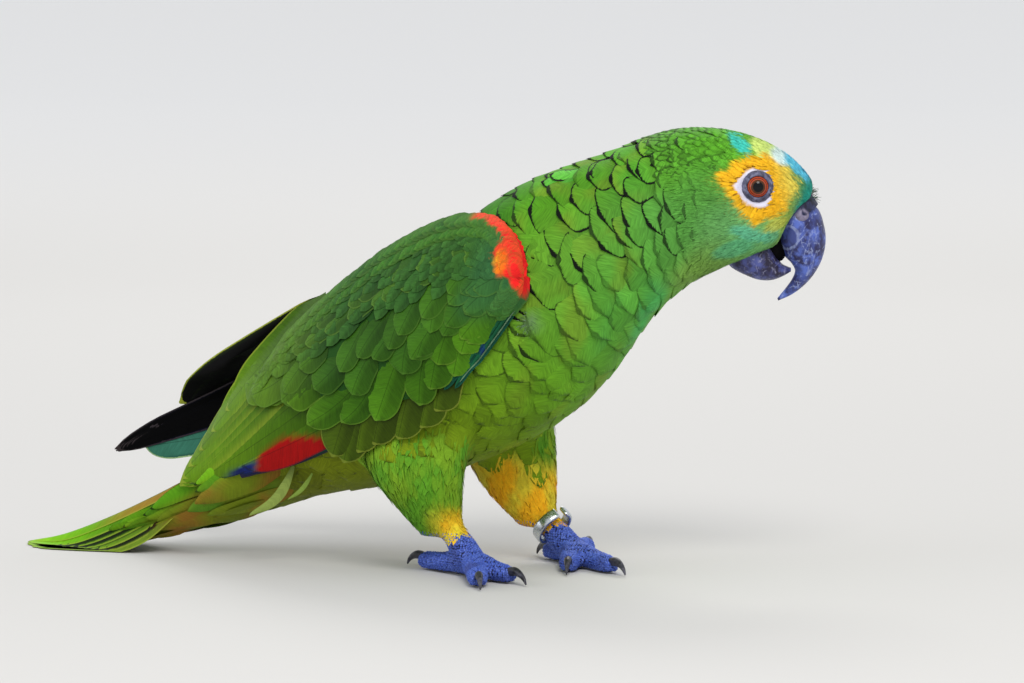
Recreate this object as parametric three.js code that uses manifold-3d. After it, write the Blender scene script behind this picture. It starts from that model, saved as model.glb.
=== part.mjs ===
// A life-size turquoise-fronted amazon parrot, walking slowly with its head low and turned a little left.
// Millimetres. +X is the way the body faces, +Y its left side, +Z up, and the soles lie at Z = 0.
// Each solid reaches to the outside of the feathers. The wings' neutral drawing is the right wing's.
import * as THREE from 'three';
import { mergeVertices } from 'three/addons/utils/BufferGeometryUtils.js';
import Module from 'manifold-3d';

const wasm = await Module();
wasm.setup();

// ---------------------------------------------------------------- driving dimensions
const GAP = 0.3; // left between two solids that meet
const HEAD_TURN = THREE.MathUtils.degToRad(22); // the head looks this far to the left of the body
const HEAD_AT = [85, 16.3, 139]; // the middle of the head
const EYE = { ahead: 7.0, out: 13.9, up: 5.4, radius: 5.6 };
const NOSTRIL = { ahead: 23.4, out: 7.0, up: -5.6, bump: 2.8, hole: 0.8 };
const RING = { inner: 6.2, outer: 7.9, width: 4.2, opening: 2.8, along: 3.8, lift: 0.9, turned: 60 };
const FLIGHT = 1.0; // thickness of the flight and tail feathers

// Upper and lower outline of tail coverts, rump, trunk, neck and head: [x, z] above, [x, z] below,
// half the width, and how far the section lies to the left of the body's own plane.
const BODY = [
  { top: [-131, 23], bottom: [-128, 11], half: 8, left: 0 },
  { top: [-110, 40], bottom: [-99, 15.5], half: 15, left: 0 },
  { top: [-85, 65], bottom: [-73, 24], half: 25, left: 0 },
  { top: [-62, 88], bottom: [-44, 28.5], half: 33, left: 0 },
  { top: [-39, 109], bottom: [-14, 37], half: 38.5, left: 0 },
  { top: [-14, 129], bottom: [17.5, 52], half: 41, left: 0 },
  { top: [5, 142.3], bottom: [36.5, 67.5], half: 39, left: 0.5 },
  { top: [20.5, 149.3], bottom: [51, 86.5], half: 34, left: 1.5 },
  { top: [36, 154.5], bottom: [62, 100], half: 28.5, left: 4 },
  { top: [51, 161], bottom: [73, 109], half: 25, left: 7.5 },
  { top: [65, 165], bottom: [82, 113.5], half: 22.5, left: 11.7 },
  { top: [79.5, 164.6], bottom: [91, 115.5], half: 20.0, left: 16.4 },
  { top: [94, 160.4], bottom: [98, 119.5], half: 17.0, left: 20.8 },
  { top: [105.5, 152.8], bottom: [104, 126], half: 13.0, left: 24.3 },
  { top: [112.4, 143.2], bottom: [109.5, 132], half: 7.5, left: 26.9 },
];
const RUMP_ENDS = 2.5; // places on that list, counted from 0, where the body is parted
const NECK_STARTS = 7.0;
const HEAD_STARTS = 9.4;

// In the head's own frame, [ahead, up]: the culmen and the cutting edge, then half the width.
const UPPER_BILL = [
  { top: [17, 0], bottom: [9, -8], half: 7.5 },
  { top: [28.8, -3.4], bottom: [14.8, -10.8], half: 8.8 },
  { top: [31.8, -10.4], bottom: [15.6, -16.5], half: 8.6 },
  { top: [32.4, -16.2], bottom: [17.6, -21.4], half: 7.6 },
  { top: [31.2, -22.4], bottom: [20.2, -24.2], half: 6.2 },
  { top: [28.2, -28.2], bottom: [21.4, -26.8], half: 4.7 },
  { top: [24.6, -32.3], bottom: [20.4, -29.8], half: 3.5 },
  { top: [20.2, -35.6], bottom: [18.2, -33.0], half: 2.1 },
  { top: [15.3, -37.9], bottom: [15.0, -37.0], half: 0.5 },
];
const LOWER_BILL = [
  { top: [6, -11], bottom: [-7, -19], half: 7.2 },
  { top: [12.2, -15.4], bottom: [-2.4, -25.2], half: 8.0 },
  { top: [14.2, -18.6], bottom: [3.2, -28.4], half: 7.9 },
  { top: [15.2, -21.8], bottom: [8.4, -30.2], half: 7.2 },
  { top: [16.6, -24.2], bottom: [13.2, -30.2], half: 6.2 },
  { top: [18.4, -25.2], bottom: [17.0, -28.8], half: 4.6 },
  { top: [19.9, -25.8], bottom: [19.8, -27.2], half: 2.6 },
];
const CERE = [
  { top: [18, 4.2], bottom: [13, -7], half: 8.6 },
  { top: [26.4, 2.0], bottom: [17.2, -8.6], half: 9.4 },
  { top: [29.8, -2.2], bottom: [20.6, -8.8], half: 8.6 },
];

// The folded right wing seen from its own side, [x, z]. Each fan is one layer of feathers: a line of
// roots, a line of tips, and how many feathers lie between its first and its last.
const SHOULDER = { // the short coverts: a thick pad from the upper edge to the lower
  upper: [[24, 113], [19, 125], [6, 133.3], [-13, 132.5], [-35, 123.5], [-62, 104.5], [-83, 86], [-92, 72]],
  lower: [[24, 113], [23, 104], [16, 92], [8, 79.5], [-3, 69], [-27, 62], [-62, 60], [-92, 72]],
};
const FANS = {
  right: {
    coverts: { roots: [[-1, 86], [-26, 82], [-50, 84], [-68, 92]], tips: [[-6, 60], [-26, 48.5], [-53, 41], [-97, 46]],
      count: 8 },
    secondaries: { roots: [[-26, 74], [-42, 84], [-56, 94], [-66, 102]],
      tips: [[-90, 33], [-112, 28], [-126, 27], [-118, 42], [-101, 66]], count: 9 },
    primaries: { roots: [[-14, 70], [-26, 80], [-36, 88]], tips: [[-90, 32], [-112, 27], [-131, 24], [-127, 33]], count: 6 },
  },
  left: {
    coverts: { roots: [[1, 84], [-26, 80], [-50, 84], [-68, 92]], tips: [[-1, 57], [-26, 46], [-53, 41], [-95, 46]],
      count: 8 },
    secondaries: { roots: [[-26, 74], [-42, 84], [-56, 94], [-66, 102]],
      tips: [[-90, 33], [-113, 28], [-130, 31], [-126, 43], [-113, 57], [-101, 69]], count: 9 },
    primaries: { roots: [[-14, 70], [-24, 76], [-34, 82], [-40, 86]],
      tips: [[-113, 18], [-134, 2], [-150, -2], [-157, 2], [-141, 19], [-130, 29]], count: 8 },
  },
};
// How far each layer lies outside the wing's own surface, from its inner to its outer face.
const LAYERS = { primaries: [-4.3, -4.3 + FLIGHT], secondaries: [-2.3, -2.3 + FLIGHT], coverts: [-0.4, 1.0] };
// How the left wing is carried: turned up at its tip, held off the body, and moved ahead and down.
const LEFT_WING = { about: [-40, 40, 95], raise: 18, outward: 8, shift: [12, 2.5, -4] };

const TAIL = {
  root: -84, length: 119, reach: 0.925, feathers: 12, arch: 0.033, roll: 0.72,
  ridge: [[0, 47], [45, 28.5], [62, 20.5], [84, 10.8], [104, 3.6], [119, 0.45]], // [along, height]
  halfWidth: [11, 21],
};

// Each leg: the thigh's feathers from top to bottom, the bare shank, and the toes' directions and lengths.
const LEGS = {
  right: {
    thigh: [
      { at: [-27, -20, 62], reach: 23, half: 15 },
      { at: [-26, -25, 47], reach: 21.5, half: 15 },
      { at: [-24, -26, 34], reach: 17.5, half: 13.5 },
      { at: [-20.8, -24.5, 26], reach: 13.6, half: 11 },
      { at: [-18.6, -23, 18.5], reach: 9.6, half: 8.5 },
      { at: [-18.8, -22.5, 14], reach: 5, half: 4 },
    ],
    ankle: [-12.5, -22.5, 17.5],
    palm: [-1.5, -27.5, 5.0],
    toes: { 1: [113, 20], 2: [-33, 25], 3: [-64, 32], 4: [150, 31] },
  },
  left: {
    thigh: [
      { at: [-10, 20, 58], reach: 21, half: 15 },
      { at: [-9, 25, 44], reach: 19, half: 15 },
      { at: [-6, 26, 31], reach: 16, half: 13 },
      { at: [-2.5, 25, 23.5], reach: 13, half: 10.5 },
      { at: [0.6, 24, 17.5], reach: 9.2, half: 8 },
      { at: [1.5, 23.5, 13], reach: 4.4, half: 4 },
    ],
    ankle: [7.5, 22.5, 15.5],
    palm: [19.5, 18.5, 5.0],
    toes: { 1: [139, 20], 2: [-72, 25], 3: [-40, 32], 4: [101, 31] },
  },
};
const SHANK = 4.8; // its radius
const TOE = { root: 4.6, end: 3.5, claw: 9.5, facets: { sides: 8, rings: 5 } };

// ---------------------------------------------------------------- solids
const vec = (x, y, z) => new THREE.Vector3(x, y, z);

function toSolid(geometry) {
  const bare = geometry.clone();
  bare.deleteAttribute('normal');
  bare.deleteAttribute('uv');
  const merged = mergeVertices(bare, 1e-3);
  const order = new Uint32Array(merged.index.array);
  if (signedVolume(merged) < 0) { // a mirrored shape: turn its faces outwards again
    for (let i = 0; i < order.length; i += 3) order.subarray(i, i + 3).reverse();
  }
  const vertProperties = new Float32Array(merged.getAttribute('position').array);
  return new wasm.Manifold(new wasm.Mesh({ numProp: 3, vertProperties, triVerts: order }));
}

function signedVolume(geometry) {
  const corner = [0, 1, 2].map(() => vec(0, 0, 0));
  let sum = 0;
  for (let i = 0; i < geometry.index.count; i += 3) {
    corner.forEach((c, k) => c.fromBufferAttribute(geometry.getAttribute('position'), geometry.index.getX(i + k)));
    sum += corner[0].dot(corner[1].cross(corner[2]));
  }
  return sum;
}

function toGeometry(solid) {
  const mesh = solid.getMesh();
  const points = new Float32Array(mesh.numVert * 3);
  for (let i = 0; i < mesh.numVert; i++) {
    points.set(mesh.vertProperties.subarray(i * mesh.numProp, i * mesh.numProp + 3), i * 3);
  }
  const geometry = new THREE.BufferGeometry();
  geometry.setAttribute('position', new THREE.BufferAttribute(points, 3));
  geometry.setIndex(new THREE.BufferAttribute(new Uint32Array(mesh.triVerts), 1));
  return geometry;
}

// Moves every vertex of a geometry: place(x, y, z) gives its new position.
function reshape(geometry, place) {
  const position = geometry.getAttribute('position');
  for (let i = 0; i < position.count; i++) {
    const p = place(position.getX(i), position.getY(i), position.getZ(i));
    position.setXYZ(i, p.x, p.y, p.z);
  }
  return geometry;
}

// A closed skin through oval sections: each has a top and a bottom point, half a width and a turn about Z.
function loft(sections, { sides = 20, rings = 24, grow = 0 } = {}) {
  const tops = new THREE.CatmullRomCurve3(sections.map((s) => s.top));
  const bottoms = new THREE.CatmullRomCurve3(sections.map((s) => s.bottom));
  const widths = new THREE.CatmullRomCurve3(sections.map((s) => vec(s.half, s.turn ?? 0, 0)));
  const last = sections.length - 1;
  return reshape(new THREE.CylinderGeometry(1, 1, 1, sides, rings), (x, y, z) => {
    const t = y + 0.5;
    const top = tops.getPoint(t);
    const bottom = bottoms.getPoint(t);
    const { x: half, y: turn } = widths.getPoint(t);
    const centre = top.clone().add(bottom).multiplyScalar(0.5);
    const up = top.clone().sub(bottom).multiplyScalar(0.5);
    up.setLength(up.length() + grow);
    const side = vec(-Math.sin(turn), Math.cos(turn), 0).multiplyScalar(half + grow);
    const along = tops.getTangent(t).add(bottoms.getTangent(t)).normalize();
    const end = t < 1e-6 ? -grow : t > 1 - 1e-6 ? grow : 0;
    return centre.addScaledVector(up, x).addScaledVector(side, z).addScaledVector(along, last ? end : 0);
  });
}

// Sections of a piece that lies in the head's own plane.
const inPlane = (sections) => sections.map((s) => ({
  top: vec(s.top[0], 0, s.top[1]), bottom: vec(s.bottom[0], 0, s.bottom[1]), half: s.half,
}));

// Level sections stacked from top to bottom: a thigh, with its reach ahead and behind and its half width.
const levels = (sections) => sections.map((s) => ({
  top: vec(s.at[0] + s.reach, s.at[1], s.at[2]),
  bottom: vec(s.at[0] - s.reach, s.at[1], s.at[2]),
  half: s.half,
}));

const ball = (radius, x, y, z, n = 12) => new THREE.SphereGeometry(radius, n, Math.round(0.65 * n)).translate(x, y, z);

// Cuts everything on the far side of a plane away: what stays is behind the point, against the direction.
function keepBehind(solid, point, direction) {
  const n = direction.clone().negate().normalize();
  return solid.trimByPlane([n.x, n.y, n.z], n.dot(point));
}

// ---------------------------------------------------------------- trunk, neck and head
const bodySections = BODY.map((s) => ({
  top: vec(s.top[0], s.left, s.top[1]), bottom: vec(s.bottom[0], s.left, s.bottom[1]), half: s.half,
}));
bodySections.forEach((s, i) => { // the sections turn with the neck, from the shoulders to the head
  const share = THREE.MathUtils.smoothstep(i, NECK_STARTS - 1, HEAD_STARTS + 0.6);
  s.turn = HEAD_TURN * share;
});
const body = toSolid(loft(bodySections, { sides: 20, rings: 22 }));

// The plane of the body's section at a place on the list, facing ahead.
function sectionPlane(place) {
  const t = place / (BODY.length - 1);
  const top = new THREE.CatmullRomCurve3(bodySections.map((s) => s.top)).getPoint(t);
  const bottom = new THREE.CatmullRomCurve3(bodySections.map((s) => s.bottom)).getPoint(t);
  const before = bodySections[Math.floor(place)];
  const side = vec(-Math.sin(before.turn), Math.cos(before.turn), 0);
  return { point: top.clone().add(bottom).multiplyScalar(0.5), ahead: side.cross(top.sub(bottom)).normalize() };
}

// The part of the body between two planes, each leaving half the gap.
function between(from, to) {
  let part = body;
  if (from) {
    const start = from.point.clone().addScaledVector(from.ahead, GAP / 2);
    part = keepBehind(part, start, from.ahead.clone().negate());
  }
  if (to) part = keepBehind(part, to.point.clone().addScaledVector(to.ahead, -GAP / 2), to.ahead);
  return part;
}
const rumpPlane = sectionPlane(RUMP_ENDS);
const neckPlane = sectionPlane(NECK_STARTS);
const headPlane = sectionPlane(HEAD_STARTS);

// ---------------------------------------------------------------- the head's own pieces
const toHead = new THREE.Matrix4().makeRotationZ(HEAD_TURN).setPosition(...HEAD_AT);
const onHead = (geometry) => geometry.applyMatrix4(toHead);

function cereWithNostrils(grow) {
  let cere = toSolid(onHead(loft(inPlane(CERE), { sides: 12, rings: 3, grow })));
  for (const side of [-1, 1]) {
    const at = [NOSTRIL.ahead, side * NOSTRIL.out, NOSTRIL.up];
    cere = cere.add(toSolid(onHead(ball(NOSTRIL.bump + grow, ...at, 8))));
    if (!grow) {
      const hole = [at[0] + 1.2, side * (NOSTRIL.out + NOSTRIL.bump - 0.2), at[2] + 0.8];
      cere = cere.subtract(toSolid(onHead(ball(NOSTRIL.hole, ...hole, 6))));
    }
  }
  return cere;
}
const upperBill = (grow) => toSolid(onHead(loft(inPlane(UPPER_BILL), { sides: 14, rings: 11, grow })));
const lowerBill = (grow) => toSolid(onHead(loft(inPlane(LOWER_BILL), { sides: 12, rings: 7, grow })));
const eyeball = (side, grow) => toSolid(onHead(ball(EYE.radius + grow, EYE.ahead, side * EYE.out, EYE.up)));

const bill = { upper: upperBill(0), lower: lowerBill(0).subtract(upperBill(GAP)) };
const cere = cereWithNostrils(0).subtract(upperBill(GAP)).subtract(body.subtract(cereWithNostrils(0)));

// ---------------------------------------------------------------- wings
// The wing's long axis in side view, and how far its surface stands out from the body's plane.
const FLANK = { from: [45, 112], to: [-160, 8], widest: 43.5, widestAt: 52, tallest: 49, tallestAt: 45 };
const axis = new THREE.Vector2(FLANK.to[0] - FLANK.from[0], FLANK.to[1] - FLANK.from[1]).normalize();
function flank(x, z) {
  const dx = x - FLANK.from[0];
  const dz = z - FLANK.from[1];
  const along = dx * axis.x + dz * axis.y;
  const above = dz * -axis.x + dx * axis.y;
  const width = FLANK.widest * (1 - ((along - FLANK.widestAt) / 178) ** 2);
  const height = Math.max(14, FLANK.tallest * (1 - ((along - FLANK.tallestAt) / 160) ** 2));
  const level = above > 0 ? above / height : above / (1.6 * height);
  return Math.max(9, width * (1 - (above > 0 ? 0.68 : 0.45) * Math.min(1.3, level * level)));
}

const curve = (points) => new THREE.CatmullRomCurve3(points.map(([x, z]) => vec(x, 0, z)));
const clearance = { inner: GAP, outer: 30, edge: 1.2 }; // what a layer takes from the solids beneath it

// A point p of the wing's side view, pushed out to its place: y < 0 is the layer's outer face.
const onFlank = (p, y, [inner, outer], room) => (
  vec(p.x, -(flank(p.x, p.z) + (y < 0 ? outer + (room ? room.outer : 0) : inner - (room ? room.inner : 0))), p.z)
);

// A layer of long feathers as one sheet: rounded tips at its free edge, a groove between two feathers.
function fan({ roots, tips, count }, layer, room) {
  const rootLine = curve(roots);
  const tipLine = curve(tips);
  return reshape(new THREE.BoxGeometry(1, 1, 1, 4, 1, 3 * count), (x, y, z) => {
    const s = z + 0.5;
    const root = rootLine.getPoint(s);
    const tip = tipLine.getPoint(s);
    const ahead = tip.clone().sub(root).normalize();
    const place = (s * count) % 1;
    const border = Math.abs(2 * place - 1) > 0.9 || s > 0.999 || s < 0.001;
    const side = vec(ahead.z, 0, -ahead.x);
    const width = (tipLine.getLength() / count) * 0.5;
    if (room) {
      tip.addScaledVector(ahead, room.edge);
      root.addScaledVector(ahead, -room.edge);
      const off = s > 0.999 ? room.edge : s < 0.001 ? -room.edge : 0;
      tip.addScaledVector(side, off);
      root.addScaledVector(side, off);
    } else if (border) {
      tip.addScaledVector(ahead, -0.75 * width);
    }
    const p = root.lerp(tip, x + 0.5);
    const groove = border && !room && y < 0 ? -0.35 : 0;
    return onFlank(p, y, [layer[0], layer[1] + groove], room);
  });
}

// The pad of short coverts between an upper and a lower edge line, swelling out in its middle.
function pad({ upper, lower }, inner, swell, room) {
  const a = curve(upper);
  const b = curve(lower);
  return reshape(new THREE.BoxGeometry(1, 1, 1, 8, 1, 5), (x, y, z) => {
    const t = THREE.MathUtils.clamp(x + 0.5, 0.006, 0.994);
    const p = a.getPoint(t).lerp(b.getPoint(t), z + 0.5);
    if (room) {
      const middle = a.getPoint(t).lerp(b.getPoint(t), 0.5);
      const off = p.clone().sub(middle).normalize();
      p.addScaledVector(off, Math.abs(z) > 0.49 ? room.edge : 0);
      p.x += Math.abs(x) > 0.49 ? -Math.sign(x) * room.edge : 0;
    }
    return onFlank(p, y, [inner, 0.8 + swell * Math.sin(Math.PI * t) * Math.cos(Math.PI * z)], room);
  });
}

const asDrawn = (geometry) => geometry;
const mirrored = (() => {
  const { about, raise, outward, shift } = LEFT_WING;
  const rad = THREE.MathUtils.degToRad;
  const pose = new THREE.Matrix4().makeTranslation(about[0] + shift[0], about[1] + shift[1], about[2] + shift[2]);
  pose.multiply(new THREE.Matrix4().makeRotationZ(-rad(outward)));
  pose.multiply(new THREE.Matrix4().makeRotationY(rad(raise)));
  pose.multiply(new THREE.Matrix4().makeTranslation(-about[0], -about[1], -about[2]));
  pose.multiply(new THREE.Matrix4().makeScale(1, -1, 1));
  return (geometry) => geometry.applyMatrix4(pose);
})();

function wing(side) {
  const pose = side === 'right' ? asDrawn : mirrored;
  const drawn = FANS[side];
  const layer = (name, room) => toSolid(pose(fan(drawn[name], LAYERS[name], room)));
  const secondaries = layer('secondaries');
  const primaries = layer('primaries');
  const under = { inner: 12, outer: 0.4, edge: 1.2 }; // the pad is thin where the long feathers lie beneath it
  const beneath = layer('secondaries', under).add(layer('primaries', under));
  const shoulder = toSolid(pose(pad(SHOULDER, -3.8, 6))).subtract(beneath);
  const coverts = largest(shoulder.add(layer('coverts')));
  const room = toSolid(pose(pad(SHOULDER, -3.8, 6, clearance)))
    .add(layer('secondaries', clearance)).add(layer('primaries', clearance)).add(layer('coverts', clearance));
  return { coverts, secondaries, primaries, room };
}
const largest = (solid) => solid.decompose().sort((a, b) => b.volume() - a.volume())[0];
const wings = { right: wing('right'), left: wing('left') };

// ---------------------------------------------------------------- tail
// The tail slopes down from the rump and is laid along the floor. Its right side hangs lower than its
// left, like a roof with a roll. thick and grow widen the same sheet to the room it takes in the rump.
function tailSheet({ length = TAIL.length, columns = 2 * TAIL.feathers, below = 0, above = 0, grow = 0 } = {}) {
  const ridge = new THREE.CatmullRomCurve3(TAIL.ridge.map(([along, z]) => vec(along, 0, z)));
  return reshape(new THREE.BoxGeometry(1, 1, 1, 7, 1, columns), (x, y, z) => {
    const t = ((x + 0.5) * length) / TAIL.length;
    const border = Math.abs(2 * (((z + 0.5) * TAIL.feathers) % 1) - 1) > 0.9 || Math.abs(z) > 0.499;
    const point = ridge.getPoint(t);
    const half = THREE.MathUtils.lerp(...TAIL.halfWidth, t) + grow;
    const across = 2 * z * half;
    const back = point.x - (t > 0.99 ? 6 * (2 * z) ** 2 + (border ? 2.4 : 0) : 0);
    const roll = TAIL.roll * THREE.MathUtils.smoothstep(t, -0.2, 0.4);
    const drop = TAIL.arch * across * across - roll * Math.min(0, across) + 0.1 * Math.max(0, across);
    const room = Math.max(0.01, point.z - 0.45); // the floor bears what would hang lower
    const laid = drop < 0.01 ? drop : (drop ** -4 + room ** -4) ** -0.25;
    const lift = y > 0 ? FLIGHT / 2 + above - (border && !grow ? 0.3 : 0) : -FLIGHT / 2 - below;
    return vec(TAIL.root - TAIL.reach * back + (t < 0.01 ? grow : 0), across, point.z - laid + lift);
  });
}
const tailFan = toSolid(tailSheet()).trimByPlane([0, 0, 1], 0);
const tailRoom = toSolid(tailSheet({ length: 60, columns: 12, above: 0.5, below: 0.6, grow: 0.6 }));

// ---------------------------------------------------------------- legs and feet
// A round limb through points, [x, y, z, radius], on the loft's sections.
function limb(points, { sides = 12, rings = 8, grow = 0 } = {}) {
  const line = new THREE.CatmullRomCurve3(points.map((p) => vec(p[0], p[1], p[2])));
  return loft(points.map((p, i) => {
    const ahead = line.getTangent(i / (points.length - 1));
    const turn = Math.atan2(ahead.y, ahead.x);
    const side = vec(-Math.sin(turn), Math.cos(turn), 0);
    const up = ahead.clone().cross(side).normalize().multiplyScalar(p[3]);
    const at = vec(p[0], p[1], p[2]);
    return { top: at.clone().add(up), bottom: at.clone().sub(up), half: p[3], turn };
  }), { sides, rings, grow });
}

const heading = (degrees) => vec(Math.cos(THREE.MathUtils.degToRad(degrees)), Math.sin(THREE.MathUtils.degToRad(degrees)), 0);

function toePoints(palm, [degrees, length]) {
  const out = heading(degrees);
  const at = (share, z, r) => [palm[0] + out.x * share * length, palm[1] + out.y * share * length, z, r];
  return [
    at(0.0, 5.1, TOE.root), at(0.28, 4.9, TOE.root - 0.2), at(0.5, 3.9, TOE.root - 0.6),
    at(0.68, 3.4, TOE.end + 0.4), at(0.86, 3.2, TOE.end + 0.3), at(1.0, 3.3, TOE.end - 0.8),
  ];
}

function clawPoints(palm, [degrees, length]) {
  const out = heading(degrees);
  const at = (beyond, z, r) => {
    const reach = length + beyond * TOE.claw;
    return [palm[0] + out.x * reach, palm[1] + out.y * reach, z, r];
  };
  return [at(-0.25, 4.3, 1.7), at(0.2, 4.9, 1.65), at(0.55, 4.1, 1.2), at(0.8, 2.5, 0.8), at(0.92, 0.8, 0.42)];
}

function leg(side) {
  const { thigh, ankle, palm, toes } = LEGS[side];
  const shankLine = [
    [ankle[0] - 3.5, ankle[1], ankle[2] + 5, SHANK - 0.8], [...ankle, SHANK + 0.2],
    [(ankle[0] + palm[0]) / 2, (ankle[1] + palm[1]) / 2, (ankle[2] + palm[2]) / 2 + 0.3, SHANK],
    [...palm, SHANK + 0.7], [palm[0] + (palm[0] - ankle[0]) * 0.25, palm[1], palm[2] - 1.0, SHANK - 0.9],
  ];
  let foot = toSolid(limb(shankLine, { sides: 10, rings: 5 }));
  for (const toe of Object.values(toes)) foot = foot.add(toSolid(limb(toePoints(palm, toe), TOE.facets)));
  const claws = {};
  for (const [number, toe] of Object.entries(toes)) {
    const sheath = toSolid(limb(toePoints(palm, toe), { ...TOE.facets, grow: GAP }));
    const claw = toSolid(limb(clawPoints(palm, toe), { sides: 6, rings: 3 }));
    claws[`claw_${side}_${number}`] = largest(claw.subtract(sheath));
  }
  const feathers = (grow) => toSolid(loft(levels(thigh), { sides: 14, rings: 7, grow }));
  const bare = toSolid(limb(shankLine, { sides: 10, rings: 5, grow: GAP }));
  return { foot: foot.trimByPlane([0, 0, 1], 0), claws, feathers, thigh: feathers(0).subtract(bare) };
}
const legs = { right: leg('right'), left: leg('left') };

// The open steel ring round the left shank.
function legRing() {
  const { inner, outer, width, opening, along, lift, turned } = RING;
  const { ankle, palm } = LEGS.left;
  const h = width / 2;
  const profile = [
    [inner, -h], [outer - 0.4, -h], [outer, -h + 0.4], [outer, h - 0.4], [outer - 0.4, h], [inner, h], [inner, -h],
  ];
  const ring = new THREE.LatheGeometry(profile.map(([r, y]) => new THREE.Vector2(r, y)), 18);
  const gap = new THREE.BoxGeometry(opening, 3 * width, 2 * outer).translate(0, 0, outer);
  const down = vec(palm[0] - ankle[0], palm[1] - ankle[1], palm[2] - ankle[2]).normalize();
  const place = new THREE.Matrix4().makeRotationFromQuaternion(
    new THREE.Quaternion().setFromUnitVectors(vec(0, 1, 0), down));
  place.setPosition(ankle[0] + down.x * along, ankle[1] + down.y * along, ankle[2] + down.z * along + lift);
  place.multiply(new THREE.Matrix4().makeRotationY(THREE.MathUtils.degToRad(turned)));
  return toSolid(ring.applyMatrix4(place)).subtract(toSolid(gap.applyMatrix4(place)));
}

// ---------------------------------------------------------------- the flesh, cut to leave room for the rest
let trunk = between(rumpPlane, neckPlane);
let rump = between(null, rumpPlane);
let neck = between(neckPlane, headPlane);
for (const side of ['right', 'left']) {
  trunk = trunk.subtract(wings[side].room);
  rump = rump.subtract(wings[side].room);
  neck = neck.subtract(wings[side].room);
}
for (const side of ['right', 'left']) {
  trunk = trunk.subtract(legs[side].feathers(GAP));
  rump = rump.subtract(legs[side].feathers(GAP));
}
trunk = largest(trunk.subtract(tailRoom));
rump = largest(rump.subtract(tailRoom));
neck = largest(neck);

let head = between(headPlane, null);
for (const cut of [cereWithNostrils(GAP), upperBill(GAP), lowerBill(GAP), eyeball(-1, GAP), eyeball(1, GAP)]) {
  head = head.subtract(cut);
}
head = largest(head);

// ---------------------------------------------------------------- the model
const finish = (color, roughness, metalness = 0) => new THREE.MeshStandardMaterial({ color, roughness, metalness });
const FINISHES = {
  green: finish(0x4a9a22, 0.75), darkGreen: finish(0x3a7320, 0.7), wingTips: finish(0x1c2430, 0.6),
  paleGreen: finish(0x8fb52a, 0.7), horn: finish(0x3c4068, 0.4), skin: finish(0x55608a, 0.7),
  claw: finish(0x2a2a30, 0.45), iris: finish(0x8a3a18, 0.1), steel: finish(0xb8c0c8, 0.3, 1),
};

const parrot = new THREE.Group();
function add(name, solid, material) {
  const mesh = new THREE.Mesh(toGeometry(solid), FINISHES[material]);
  mesh.name = name;
  parrot.add(mesh);
}
add('trunk', trunk, 'green');
add('rump', rump, 'paleGreen');
add('neck', neck, 'green');
add('head', head, 'green');
add('cere', largest(cere), 'skin');
add('bill_upper', bill.upper, 'horn');
add('bill_lower', largest(bill.lower), 'horn');
add('eye_right', eyeball(-1, 0), 'iris');
add('eye_left', eyeball(1, 0), 'iris');
add('tail', tailFan, 'paleGreen');
for (const side of ['right', 'left']) {
  add(`wing_${side}_coverts`, wings[side].coverts, 'darkGreen');
  add(`wing_${side}_secondaries`, wings[side].secondaries, 'paleGreen');
  add(`wing_${side}_primaries`, wings[side].primaries, 'wingTips');
  add(`thigh_${side}`, largest(legs[side].thigh.subtract(wings[side].room)), 'paleGreen');
  add(`foot_${side}`, legs[side].foot, 'skin');
  for (const [name, solid] of Object.entries(legs[side].claws)) add(name, solid, 'claw');
}
add('leg_ring', legRing(), 'steel');

// The origin lies under the middle of the whole bird, on the floor.
const bounds = new THREE.Box3().setFromObject(parrot);
parrot.position.set(-(bounds.min.x + bounds.max.x) / 2, -(bounds.min.y + bounds.max.y) / 2, -bounds.min.z);

export default parrot;
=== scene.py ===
import math

import bmesh
import bpy
import numpy as np
from mathutils import Matrix, Vector
from mathutils.bvhtree import BVHTree


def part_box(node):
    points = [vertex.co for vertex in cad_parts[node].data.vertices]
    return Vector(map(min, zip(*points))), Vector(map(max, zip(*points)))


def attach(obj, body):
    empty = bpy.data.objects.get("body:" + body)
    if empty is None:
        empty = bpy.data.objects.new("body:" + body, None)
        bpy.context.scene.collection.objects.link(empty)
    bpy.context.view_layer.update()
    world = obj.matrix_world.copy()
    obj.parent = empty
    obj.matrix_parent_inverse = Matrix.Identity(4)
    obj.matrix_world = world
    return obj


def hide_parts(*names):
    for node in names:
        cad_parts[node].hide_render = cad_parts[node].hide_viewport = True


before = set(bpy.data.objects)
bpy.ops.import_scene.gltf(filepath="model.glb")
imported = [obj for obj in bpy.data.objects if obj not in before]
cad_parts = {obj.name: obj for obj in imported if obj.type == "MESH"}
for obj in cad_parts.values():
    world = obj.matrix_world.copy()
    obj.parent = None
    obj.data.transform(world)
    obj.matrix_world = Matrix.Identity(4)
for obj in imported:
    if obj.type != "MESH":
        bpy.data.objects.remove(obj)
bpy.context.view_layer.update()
dice = np.random.default_rng(41)
MM = 0.001

# ------------------------------------------------------------------ the maker's drawing
HEAD_TURN = math.radians(22)
HEAD_AT = np.array((85.0, 16.3, 139.0))
EYE = {"ahead": 7.0, "out": 13.9, "up": 5.4, "ball": 5.5, "iris": 3.95, "pupil": 1.85}
NOSTRIL = {"ahead": 23.4, "out": 7.0, "up": -5.6, "bump": 2.8}
RING = {"inner": 6.2, "outer": 7.9, "width": 4.2, "opening": 2.8, "along": 3.8, "lift": 0.9, "turned": 60}

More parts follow.
